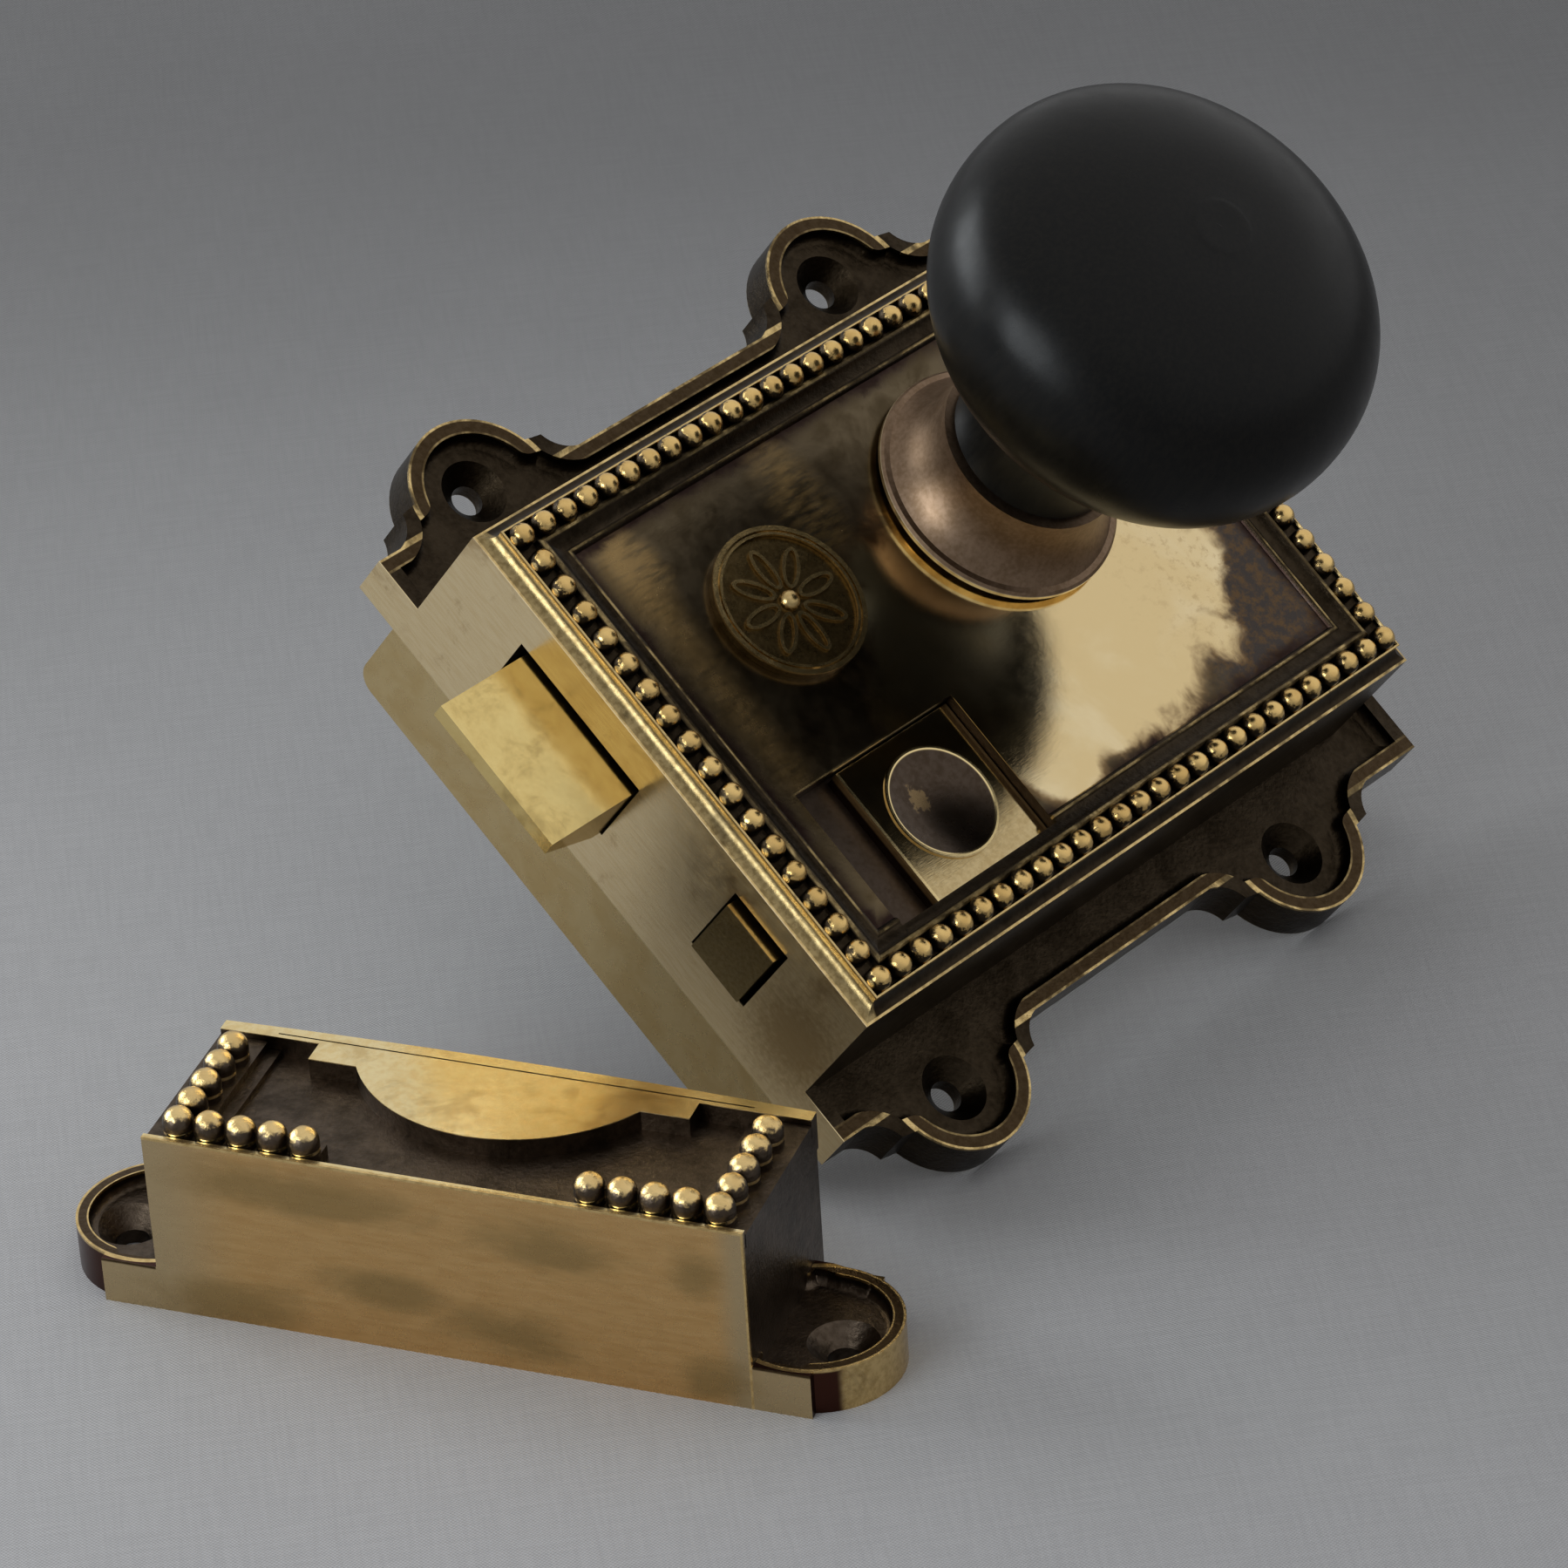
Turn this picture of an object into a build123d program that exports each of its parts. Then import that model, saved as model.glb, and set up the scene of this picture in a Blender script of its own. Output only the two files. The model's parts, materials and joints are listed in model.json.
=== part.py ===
"""Cast-brass rim latch with an ebony knob, a sliding snib bolt and its box keep, laid out on a table.

The latch is modelled as it would be mounted. X runs in from the forend, Z is up, and "front" distances
are measured from the back plane towards the room, which is -Y. The keep is modelled lying on its back, with
X along its length and Y towards its mouth. Both are then placed in the row frame, where Z is up from the
table. The latch leans back, so that it stands on its two lower lugs and on the rear end of its spindle.
"""
from build123d import *
import os
from math import atan, cos, degrees, radians, sin

# Driving sizes of the case, in millimetres
CASE_LENGTH = 114.3
CASE_HEIGHT = 82.55
EDGE_FRONT = 26.0
FIELD_FRONT = 28.26
PLATE = 2.8
WALL = 2.8
BORDER = 9.6
BEAD_INSET = 3.96
BEAD_RADIUS = 1.72
BEAD_FRONT = 29.3
BEADS_ALONG = 26
BEADS_UP = 17
CHANNEL_FRONT = 28.3

# Flange behind the case, with four screw lugs
FLANGE_WIDTH = 8.3
FLANGE_FRONT = 6.9
FLANGE_RIM = 2.2
FLANGE_SUNK = 2.1
FLANGE_COVE = 1.3
LUG_ACROSS = (21.6, 94.0)
LUG_RISE = 10.5
LOBE_RISE = 9.1
LOBE_RADIUS = 11.35
LUG_SWEEP = 17.4
LUG_NIB = (13.5, 12.2)
LUG_NOTCH = (10.6, 12.7)
SCREW_HOLE = 2.25
COUNTERSINK = 4.8

# Lip of the forend, which laps the edge of the door
LIP_BACK = 12.7
LIP_TOP = 42.3
LIP_CORNER = 3.0

# Latch bolt, its travel and the follower that draws it
LATCH_OUT = 15.9
LATCH_TRAVEL = 15.0
LATCH_LOW = 2.4
LATCH_HIGH = 25.8
LATCH_BACK = 8.1
LATCH_FRONT = 18.9
LATCH_REAR = 24.0
LATCH_NOSE = 2.4
TAIL_BACK = 13.5
TAIL_LOW = 18.6
TAIL_HIGH = 28.6
HORN_BACK = 8.3
HORN_FRONT = 13.1
HORN_SWING = 50.0
HORN_HALF = 2.7
KNOB_X = 73.2
KNOB_Z = 9.6
HUB_RADIUS = 8.0
JOURNAL_RADIUS = 7.0
SPINDLE = 7.0
SPINDLE_BACK = 53.14
SPINDLE_IN_KNOB = 30.0

# Posts riveted inside the front plate
TAIL_POST_X = 58.0
TAIL_POST_RADIUS = 2.5
TAIL_POST_BACK = 11.3
TAIL_SHOULDER = 4.0
CLIP_THICK = 1.0
STOP_RADIUS = 2.2
STOP_ALONG = 9.5
SPIGOT_RADIUS = 1.6
SPIGOT_DEEP = 1.6
SPRING_POST_X = 54.0
SPRING_POST_BACK = 8.0
SPRING_POST_THICK = 4.0
SPRING_POST_HALF = 5.0
SPRING_PEG = 2.4
SPRING_PEG_LONG = 2.9
SPRING_Z = 11.0
SPRING_RADIUS = 3.6
SPRING_WIRE = 0.45
SPRING_TURNS = 11

# Snib bolt and the slide that works it
SNIB_TRAVEL = 8.9
SNIB_OUT = 1.4
SNIB_LOW = -26.7
SNIB_HIGH = -17.1
SNIB_BACK = 9.5
SNIB_FRONT = 21.0
WINDOW = (13.1, 44.5, -33.2, -11.0)
SLIDE_SUNK = 1.8
SLIDE_THICK = 2.7
CARRIAGE_THICK = 2.6
CARRIAGE_OVER = 2.1
DISH_RADIUS = 8.0
DISH_DEEP = 1.5
STUD_RADIUS = 2.0
SNIB_TAIL = 42.0
SNIB_PAD = 6.5
SNIB_SPRING_X = 26.8
SNIB_SPRING_HALF = 12.0
LEAF = 0.5
LEAF_EDGE = 1.8
LEAF_WIDE = 6.0
RIVET_RADIUS = 1.2

# Badge, a plain applied disc with a rosette
BADGE_X = 32.2
BADGE_Z = 11.2
BADGE_RADIUS = 11.3
BADGE_THICK = 0.9
BADGE_RIM = 0.55
BADGE_PIN = 0.95
BADGE_PIN_OFF = 6.5
PETALS = 8

# Knob and its collar, heights measured from the sunk field
COLLAR_FOOT = 17.9
COLLAR_TOP = 13.3
COLLAR_HEIGHT = 12.4
HEAD_RADIUS = 31.1
HEAD_HALF = 19.35
HEAD_MIDDLE = 48.0
HEAD_POWER = 2.3
NECK_RADIUS = 11.5
TENON_LOW = 3.8
GRUB_RADIUS = 1.5
GRUB_HEIGHT = 7.5

# Keep, lying on its back
KEEP_LENGTH = 82.6
KEEP_DEPTH = 27.5
KEEP_HEIGHT = 27.3
KEEP_WALL = 2.7
KEEP_FIELD = 24.45
KEEP_RIM = 0.9
KEEP_LUG_THICK = 6.65
KEEP_LUG_OUT = 7.9
KEEP_HOLE_OUT = 8.6
KEEP_HOLE_DEEP = 10.8
KEEP_LOBE = (4.5, 12.3)
KEEP_LOBE_RADIUS = 11.5
KEEP_LUG_RIM = 1.7
KEEP_LUG_SUNK = 2.0
KEEP_COVE = 1.1
KEEP_BEAD_TOP = 30.5
KEEP_BEAD_RADIUS = 2.1
KEEP_BEAD_INSET = (4.06, 3.15)
KEEP_BEAD_STEP = 4.47
KEEP_BEAD_BASE = 2.7
KEEP_BEAD_PAD = 2.0
PLATEAU_SHIFT = -0.6
PLATEAU_RADIUS = 23.2
PLATEAU_LOW = 11.2
PLATEAU_TABS = 53.2
TAB_LOW = 22.4
TAB_HIGH = 26.8
STRIP_BULGE = 0.9
STRIP_OUT = 0.6

# Where the keep lies, seen from the corner bead of the latch
KEEP_FROM_BEAD = (-76.1, 12.1)
KEEP_TURN = -68.1

# Corner posts inside the case, and the cap over its back
CORNER_POST = 9.0
CORNER_POST_DOWN = 10.8
CORNER_POST_FRONT = 20.0
RAIL_END = 57.0
CAP_THICK = 2.3
CAP_SCREW = 1.25
CAP_SCREW_HEAD = 2.6
CAP_SCREW_END = 10.0
CAP_SCREW_IN = 3.3
CAP_SCREW_DOWN = 4.2

# Clearances
RUNNING = 0.05
SLIDING = 0.3
SEAT = 0.02

HALF = CASE_HEIGHT / 2
PLATE_BACK = FIELD_FRONT - PLATE
FLANGE_TOP = HALF + FLANGE_WIDTH
FLANGE_END = CASE_LENGTH + FLANGE_WIDTH
LUG_Z = HALF + LUG_RISE
LUG_APEX = HALF + LOBE_RISE + LOBE_RADIUS
LUG_FLOOR = FLANGE_FRONT - FLANGE_SUNK
SLIDE_FRONT = FIELD_FRONT - SLIDE_SUNK
STUD_END = SLIDE_FRONT - 1.25
CARRIAGE_FRONT = SLIDE_FRONT - SLIDE_THICK
CARRIAGE_BACK = CARRIAGE_FRONT - CARRIAGE_THICK
TAIL_MIDDLE = (TAIL_LOW + TAIL_HIGH) / 2
SNIB_MIDDLE = (SNIB_LOW + SNIB_HIGH) / 2
HORN_REACH = LATCH_TRAVEL / (2 * sin(radians(HORN_SWING / 2)))
HORN_LEAN = radians(HORN_SWING / 2)
LATCH_RATIO = LATCH_TRAVEL / radians(HORN_SWING)
HOOK_FACE = KNOB_X - HORN_REACH * sin(HORN_LEAN) + HORN_HALF + SLIDING
HOOK_LOW = KNOB_Z + HORN_REACH * cos(HORN_LEAN) + 0.5
HOOK_THICK = 3.0
SQUARE_HOLE = SPINDLE / 2 + 0.03
LEAN = degrees(atan((KNOB_Z - SPINDLE / 2 + LUG_APEX) / SPINDLE_BACK))


def slab(sketch, back, front):
    """Solid of a sketch drawn in X and Z, between two distances in front of the back plane."""
    return extrude(Plane.XZ.offset(back) * sketch, front - back)


def rect(x0, x1, z0, z1):
    """Rectangle between two X and two Z values."""
    return Pos((x0 + x1) / 2, (z0 + z1) / 2) * Rectangle(x1 - x0, z1 - z0)


def block(x0, x1, z0, z1, back, front):
    """Box between X, Z and front limits."""
    return slab(rect(x0, x1, z0, z1), back, front)


def rod(x, z, radius, back, front):
    """Round bar that runs front to back."""
    return slab(Pos(x, z) * Circle(radius), back, front)


def screw_sink(x, z, hole, sink, front):
    """Cutter for a countersunk hole that opens at a front distance."""
    deep = sink - hole
    cone = Pos(x, -(front - deep / 2), z) * Rot(90, 0, 0) * Cone(hole, sink, deep)
    return rod(x, z, hole, -1, front + 1) + cone + rod(x, z, sink, front, front + 2)


def bead(x, z):
    """One bead, as a short peg with a round end."""
    ball = Pos(x, -BEAD_FRONT, z) * Rot(90, 0, 0) * Sphere(BEAD_RADIUS)
    return ball + rod(x, z, BEAD_RADIUS, CHANNEL_FRONT - 0.5, BEAD_FRONT)


def ring_of_beads():
    """Beads around the front of the case, one on each corner."""
    rise = HALF - BEAD_INSET
    step_x = (CASE_LENGTH - 2 * BEAD_INSET) / BEADS_ALONG
    step_z = 2 * rise / BEADS_UP
    places = [(BEAD_INSET + i * step_x, side * rise) for i in range(BEADS_ALONG + 1) for side in (-1, 1)]
    for j in range(1, BEADS_UP):
        places += [(x, j * step_z - rise) for x in (BEAD_INSET, CASE_LENGTH - BEAD_INSET)]
    return [bead(x, z) for x, z in places]


def border_profile():
    """Section of the border, as inset from the outer edge and front distance."""
    ridge = FIELD_FRONT + 0.74
    moulding = FIELD_FRONT + 1.34
    base = EDGE_FRONT - 2.0
    outer = [(0, base), (0, EDGE_FRONT), (0.5, EDGE_FRONT + 0.2)]
    cove = ThreePointArc((0.5, EDGE_FRONT + 0.2), (1.55, EDGE_FRONT + 0.95), (1.9, ridge - 0.1))
    channel = [(1.9, ridge - 0.1), (2.2, ridge), (2.4, ridge - 0.3), (2.5, CHANNEL_FRONT),
               (5.35, CHANNEL_FRONT), (5.5, moulding - 0.3), (5.95, moulding), (6.5, moulding - 0.15)]
    slope = ThreePointArc((6.5, moulding - 0.15), (7.3, moulding - 0.75), (8.5, FIELD_FRONT + 0.4))
    inner = [(8.5, FIELD_FRONT + 0.4), (8.9, FIELD_FRONT + 0.65), (9.3, FIELD_FRONT + 0.5),
             (BORDER, FIELD_FRONT), (BORDER, base), (0, base)]
    edges = Polyline(*outer).edges() + [cove] + Polyline(*channel).edges() + [slope]
    return make_face(edges + Polyline(*inner).edges())


def border():
    """Moulded border, swept around the front of the case with mitred corners."""
    middle = CASE_LENGTH / 2
    corners = [(CASE_LENGTH, HALF), (CASE_LENGTH, -HALF), (0, -HALF), (0, HALF)]
    points = [(middle, 0, HALF)] + [(x, 0, z) for x, z in corners] + [(middle, 0, HALF)]
    start = Plane(origin=points[0], x_dir=(0, 0, -1), z_dir=(-1, 0, 0))
    return sweep(start * border_profile(), path=Polyline(*points), transition=Transition.RIGHT)


def lug_shoulder(side):
    """Sweep from the flange's edge up to the nib beside a lug."""
    nib, rise = LUG_NIB
    middle = (nib + 0.35 * (LUG_SWEEP - nib), FLANGE_WIDTH + 0.37 * (rise - FLANGE_WIDTH))
    return ThreePointArc((side * LUG_SWEEP, FLANGE_WIDTH), (side * middle[0], middle[1]), (side * nib, rise))


def lug_outline():
    """Round lug of the flange, with a small nib on each shoulder, drawn upwards from the case's edge."""
    low = FLANGE_WIDTH - 1
    corners = [(LUG_SWEEP, FLANGE_WIDTH), (LUG_SWEEP, low), (-LUG_SWEEP, low), (-LUG_SWEEP, FLANGE_WIDTH)]
    base = Polyline(*corners)
    left = [(-a, b) for a, b in (LUG_NIB, LUG_NOTCH)]
    top = Polyline(*left, LUG_NOTCH, LUG_NIB)
    lug = make_face([lug_shoulder(1), lug_shoulder(-1)] + base.edges() + top.edges())
    return lug + Pos(0, LOBE_RISE) * Circle(LOBE_RADIUS)


def flange_outline():
    """Outline of the flange with its four lugs."""
    outline = rect(0, FLANGE_END, -FLANGE_TOP, FLANGE_TOP)
    upper = lug_outline()
    lower = mirror(upper, Plane.XZ)
    for x in LUG_ACROSS:
        outline += Pos(x, HALF) * upper
        outline += Pos(x, -HALF) * lower
    return outline


def flange():
    """Flange with a raised rim and a face sunk in a cove."""
    outline = flange_outline()
    tray = slab(offset(outline, amount=-FLANGE_RIM, kind=Kind.ARC), LUG_FLOOR, FLANGE_FRONT + 1)
    foot = tray.edges().group_by(Axis.Y)[-1]
    return slab(outline, 0, FLANGE_FRONT) - fillet(foot, FLANGE_COVE)


def lip():
    """Tongue of the forend that laps the door's edge."""
    tongue = block(0, WALL, -LIP_TOP, LIP_TOP, -LIP_BACK, 1)
    corners = tongue.edges().filter_by(Axis.X).group_by(Axis.Y)[-1]
    return fillet(corners, LIP_CORNER)


def corner_posts():
    """Four solid corners inside the case that take the cap's screws."""
    posts = []
    far = CASE_LENGTH - CORNER_POST
    for x0, x1 in ((WALL - 1, CORNER_POST), (far, CASE_LENGTH - WALL + 1)):
        for side in (-1, 1):
            z0, z1 = sorted((side * (HALF - CORNER_POST_DOWN), side * (HALF - WALL + 1)))
            posts.append(block(x0, x1, z0, z1, CAP_THICK, CORNER_POST_FRONT))
    return posts


def cap_screw_places():
    """Centres of the four screws of the cap."""
    near = WALL + CAP_SCREW_IN
    rise = HALF - WALL - CAP_SCREW_DOWN
    return [(x, side * rise) for x in (near, CASE_LENGTH - near) for side in (-1, 1)]


def snib_rails():
    """Two ledges behind the front plate that the snib's carriage runs on."""
    back = CARRIAGE_FRONT + SLIDING
    upper = block(WALL - 1, RAIL_END, WINDOW[3] + 0.2, WINDOW[3] + 2.0, back, PLATE_BACK + 1)
    lower = block(WALL - 1, RAIL_END, WINDOW[2] - 2.0, WINDOW[2] - 0.2, back, PLATE_BACK + 1)
    return [upper, lower]


def stop_place():
    """Centre of the pin that stops the follower's horn at rest."""
    off = HORN_HALF + SLIDING + STOP_RADIUS
    x = KNOB_X - STOP_ALONG * sin(HORN_LEAN) - off * cos(HORN_LEAN)
    return x, KNOB_Z + STOP_ALONG * cos(HORN_LEAN) - off * sin(HORN_LEAN)


def badge_pin_places():
    """Centres of the two pins of the badge."""
    return [(BADGE_X - BADGE_PIN_OFF, BADGE_Z), (BADGE_X + BADGE_PIN_OFF, BADGE_Z)]


def post_places():
    """Centres of the spigots that are riveted into the front plate."""
    return [(TAIL_POST_X, TAIL_MIDDLE), stop_place(), (SPRING_POST_X + SPRING_POST_THICK / 2, SPRING_Z)]


def case_shell():
    """Case with its border and flange, hollow and open at the back."""
    inset = BORDER - 0.5
    body = block(0, CASE_LENGTH, -HALF, HALF, 0, EDGE_FRONT - 0.2)
    body += border()
    body += block(inset, CASE_LENGTH - inset, inset - HALF, HALF - inset, EDGE_FRONT - 0.5, FIELD_FRONT)
    body += ring_of_beads()
    body += flange()
    inner = HALF - WALL
    return body - block(WALL, CASE_LENGTH - WALL, -inner, inner, -1, PLATE_BACK)


def forend_mouths():
    """Cutters for the two mouths in the forend that the bolts pass through."""
    latch = block(-5, WALL + 1, LATCH_LOW - SLIDING, LATCH_HIGH + 1.3, LATCH_BACK - 0.6, LATCH_FRONT + 1.0)
    snib = block(-5, WALL + 1, SNIB_LOW - 0.8, SNIB_HIGH + 0.6, SNIB_BACK - 1.3, SNIB_FRONT + 1.2)
    return [latch, snib]


def case_holes():
    """Cutters for the slide's window and for every round hole of the case."""
    back = PLATE_BACK - 1
    front = FIELD_FRONT + 1
    cuts = [block(*WINDOW, back, front), rod(KNOB_X, KNOB_Z, JOURNAL_RADIUS + RUNNING, back, front)]
    cuts += [rod(x, z, BADGE_PIN + RUNNING, back, front) for x, z in badge_pin_places()]
    cuts += [rod(x, z, SPIGOT_RADIUS, back, PLATE_BACK + SPIGOT_DEEP) for x, z in post_places()]
    cuts += [rod(x, z, CAP_SCREW + RUNNING, 0, CAP_SCREW_END + 2) for x, z in cap_screw_places()]
    for x in LUG_ACROSS:
        cuts += [screw_sink(x, side * LUG_Z, SCREW_HOLE, COUNTERSINK, LUG_FLOOR) for side in (-1, 1)]
    return cuts


def case():
    """Case, cast in one with its forend, lip and flange."""
    return case_shell() + [lip()] + corner_posts() + snib_rails() - forend_mouths() - case_holes()


def cap_plate():
    """Flat plate that closes the back of the case."""
    gap = 0.2
    inner = HALF - WALL - gap
    plate = block(WALL + gap, CASE_LENGTH - WALL - gap, -inner, inner, 0, CAP_THICK)
    plate -= rod(KNOB_X, KNOB_Z, JOURNAL_RADIUS + RUNNING, -1, CAP_THICK + 1)
    hole = CAP_SCREW + 0.15
    sink = CAP_SCREW_HEAD + 0.1
    for x, z in cap_screw_places():
        cone = Pos(x, -(sink - hole) / 2, z) * Rot(90, 0, 0) * Cone(sink, hole, sink - hole)
        plate -= [rod(x, z, hole, -1, CAP_THICK + 1), cone]
    return plate


def cap_screws():
    """Four countersunk screws that hold the cap."""
    screws = []
    under = 0.1
    deep = 1.2
    for x, z in cap_screw_places():
        cone = Cone(CAP_SCREW_HEAD, CAP_SCREW_HEAD - deep, deep)
        screw = Pos(x, -(under + deep / 2), z) * Rot(90, 0, 0) * cone
        screw += rod(x, z, CAP_SCREW, deep / 2, CAP_SCREW_END)
        screws.append(screw - block(x - 3, x + 3, z - 0.35, z + 0.35, -1, 0.5))
    return Part() + screws


def latch_bolt():
    """Spring latch: bevelled head, slotted tail and the hook that the follower pulls."""
    head = block(-LATCH_OUT, LATCH_REAR, LATCH_LOW, LATCH_HIGH, LATCH_BACK, LATCH_FRONT)
    tip = LATCH_FRONT - LATCH_NOSE
    heel = -2.0
    bevel = [(-LATCH_OUT - 1, -tip), (-LATCH_OUT, -tip), (heel, -LATCH_BACK), (heel, 0), (-LATCH_OUT - 1, 0)]
    wedge = extrude(Plane.XY.offset(LATCH_LOW - 1) * make_face(Polyline(*bevel, close=True)), 26)
    end = HOOK_FACE + HOOK_THICK
    top = TAIL_HIGH + 2.4
    tail = [(LATCH_REAR - 6, TAIL_LOW), (end, TAIL_LOW), (end, top), (HOOK_FACE - 1, top),
            (HOOK_FACE - 4, TAIL_HIGH), (LATCH_REAR + 4, TAIL_HIGH),
            (LATCH_REAR, LATCH_HIGH - 0.5), (LATCH_REAR - 6, LATCH_HIGH - 0.5)]
    bolt = head - wedge
    bolt += slab(make_face(Polyline(*tail, close=True)), TAIL_BACK, LATCH_FRONT)
    bolt += block(HOOK_FACE, end, HOOK_LOW, top, HORN_BACK, TAIL_BACK + 1)
    half = TAIL_POST_RADIUS + SLIDING
    start = TAIL_POST_X - LATCH_TRAVEL
    slot = block(start, TAIL_POST_X, TAIL_MIDDLE - half, TAIL_MIDDLE + half, 0, LATCH_FRONT + 1)
    ends = [rod(x, TAIL_MIDDLE, half, 0, LATCH_FRONT + 1) for x in (start, TAIL_POST_X)]
    peg = spring_peg(LATCH_REAR - 0.1, LATCH_REAR + SPRING_PEG_LONG)
    return bolt - [slot] - ends + peg


def latch_spring():
    """Coil spring between the latch's head and its post."""
    length = SPRING_POST_X - LATCH_REAR - 2 * SPRING_WIRE - 0.1
    path = Helix(pitch=length / SPRING_TURNS, height=length, radius=SPRING_RADIUS)
    start = Plane(origin=path @ 0, z_dir=path % 0)
    coil = sweep(start * Circle(SPRING_WIRE), path=path, is_frenet=True)
    return Pos(LATCH_REAR + SPRING_WIRE + 0.05, -TAIL_BACK, SPRING_Z) * Rot(0, 90, 0) * coil


def spring_peg(x0, x1):
    """Short peg inside one end of the latch's spring."""
    return Pos((x0 + x1) / 2, -TAIL_BACK, SPRING_Z) * Rot(0, 90, 0) * Cylinder(SPRING_PEG, x1 - x0)


def spring_post():
    """Post that the latch's spring pushes against."""
    low = SPRING_Z - SPRING_POST_HALF
    high = SPRING_Z + SPRING_POST_HALF
    end = SPRING_POST_X + SPRING_POST_THICK
    post = block(SPRING_POST_X, end, low, high, SPRING_POST_BACK, PLATE_BACK)
    post += spring_peg(SPRING_POST_X - SPRING_PEG_LONG, SPRING_POST_X + 0.1)
    return post + spigot(SPRING_POST_X + SPRING_POST_THICK / 2, SPRING_Z)


def spigot(x, z):
    """Riveted end of a post, in its blind hole."""
    return rod(x, z, SPIGOT_RADIUS - 0.02, PLATE_BACK - 0.5, PLATE_BACK + SPIGOT_DEEP - 0.1)


def tail_post():
    """Shouldered post that guides the slotted tail."""
    post = rod(TAIL_POST_X, TAIL_MIDDLE, TAIL_SHOULDER, LATCH_FRONT + 0.25, PLATE_BACK)
    post += rod(TAIL_POST_X, TAIL_MIDDLE, TAIL_POST_RADIUS, TAIL_POST_BACK, LATCH_FRONT + 1)
    return post + spigot(TAIL_POST_X, TAIL_MIDDLE)


def tail_clip():
    """Washer that keeps the tail on its post."""
    back = TAIL_BACK - SLIDING - CLIP_THICK
    disc = rod(TAIL_POST_X, TAIL_MIDDLE, TAIL_SHOULDER + 0.4, back, back + CLIP_THICK)
    return disc - rod(TAIL_POST_X, TAIL_MIDDLE, TAIL_POST_RADIUS, back - 1, back + CLIP_THICK + 1)


def stop_pin():
    """Pin that the follower's horn rests on."""
    x, z = stop_place()
    return rod(x, z, STOP_RADIUS, HORN_BACK - 0.5, PLATE_BACK) + spigot(x, z)


def turned(x, z, angle, shape):
    """Turn a shape about a front-to-back axis, from upright towards the forend."""
    return Pos(x, 0, z) * Rot(0, -degrees(angle), 0) * shape


def follower():
    """Hub with one horn, that runs in the front plate and the cap."""
    hub = rod(KNOB_X, KNOB_Z, HUB_RADIUS, CAP_THICK + SLIDING, PLATE_BACK - SLIDING)
    hub += rod(KNOB_X, KNOB_Z, JOURNAL_RADIUS, 0.1, FIELD_FRONT)
    arm = block(-HORN_HALF, HORN_HALF, 0, HORN_REACH, HORN_BACK, HORN_FRONT)
    arm += rod(0, HORN_REACH, HORN_HALF, HORN_BACK, HORN_FRONT)
    hub += turned(KNOB_X, KNOB_Z, HORN_LEAN, arm)
    return hub - square_bore(-1, FIELD_FRONT + 1)


def spindle():
    """Square bar through the follower, into the knob."""
    return square_bar(SPINDLE / 2, -SPINDLE_BACK, FIELD_FRONT + SPINDLE_IN_KNOB)


def turn_about_knob(profile):
    """Solid turned from radius and height points, standing on the sunk field at the knob."""
    solid = revolve(Plane.XZ * profile, Axis.Z)
    return Pos(KNOB_X, -FIELD_FRONT, KNOB_Z) * Rot(90, 0, 0) * solid


def square_bar(half, back, front):
    """Square bar on the knob's axis."""
    return block(KNOB_X - half, KNOB_X + half, KNOB_Z - half, KNOB_Z + half, back, front)


def square_bore(back, front):
    """Cutter for the spindle's square hole."""
    return square_bar(SQUARE_HOLE, back, front)


def knob_collar():
    """Brass collar with a bright foot ring and a coved body."""
    foot = 0.9
    wall = COLLAR_TOP - NECK_RADIUS - RUNNING
    floor = TENON_LOW - 0.2
    points = [(0, foot), (COLLAR_FOOT - 0.7, foot), (COLLAR_FOOT, foot + 0.4), (COLLAR_FOOT, foot + 1.0),
              (COLLAR_FOOT - 0.4, foot + 1.4), (COLLAR_FOOT - 1.2, foot + 1.5)]
    cove = ThreePointArc(points[-1], (COLLAR_TOP + 0.95, COLLAR_HEIGHT * 0.48), (COLLAR_TOP, COLLAR_HEIGHT))
    rim = [(COLLAR_TOP, COLLAR_HEIGHT), (COLLAR_TOP - wall, COLLAR_HEIGHT), (COLLAR_TOP - wall, floor),
           (0, floor), (0, foot)]
    profile = make_face(Polyline(*points).edges() + [cove] + Polyline(*rim).edges())
    collar = turn_about_knob(profile)
    collar -= square_bore(FIELD_FRONT - 1, FIELD_FRONT + 5)
    return collar - screw_bar(GRUB_RADIUS + RUNNING, 20)


def screw_bar(radius, reach):
    """Round bar from the spindle out through the collar, on the side away from the forend."""
    bar = Pos(SPINDLE / 2 + reach / 2, 0, 0) * Rot(0, 90, 0) * Cylinder(radius, reach)
    return Pos(KNOB_X, -FIELD_FRONT - GRUB_HEIGHT, KNOB_Z) * bar


def collar_screw():
    """Grub screw that holds the collar and knob to the spindle."""
    reach = COLLAR_TOP + 0.6 - SPINDLE / 2
    slot = Pos(KNOB_X + SPINDLE / 2 + reach, -FIELD_FRONT - GRUB_HEIGHT, KNOB_Z) * Box(1.2, 0.6, 4)
    return screw_bar(GRUB_RADIUS, reach) - slot


def head_point(angle):
    """Point of the head's rounded section, from the widest place (0) to the crown (90 degrees)."""
    c = abs(cos(radians(angle))) ** (2 / HEAD_POWER)
    s = abs(sin(radians(angle))) ** (2 / HEAD_POWER)
    rise = s if angle > 0 else -s
    return HEAD_RADIUS * c, HEAD_MIDDLE + HEAD_HALF * rise


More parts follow.
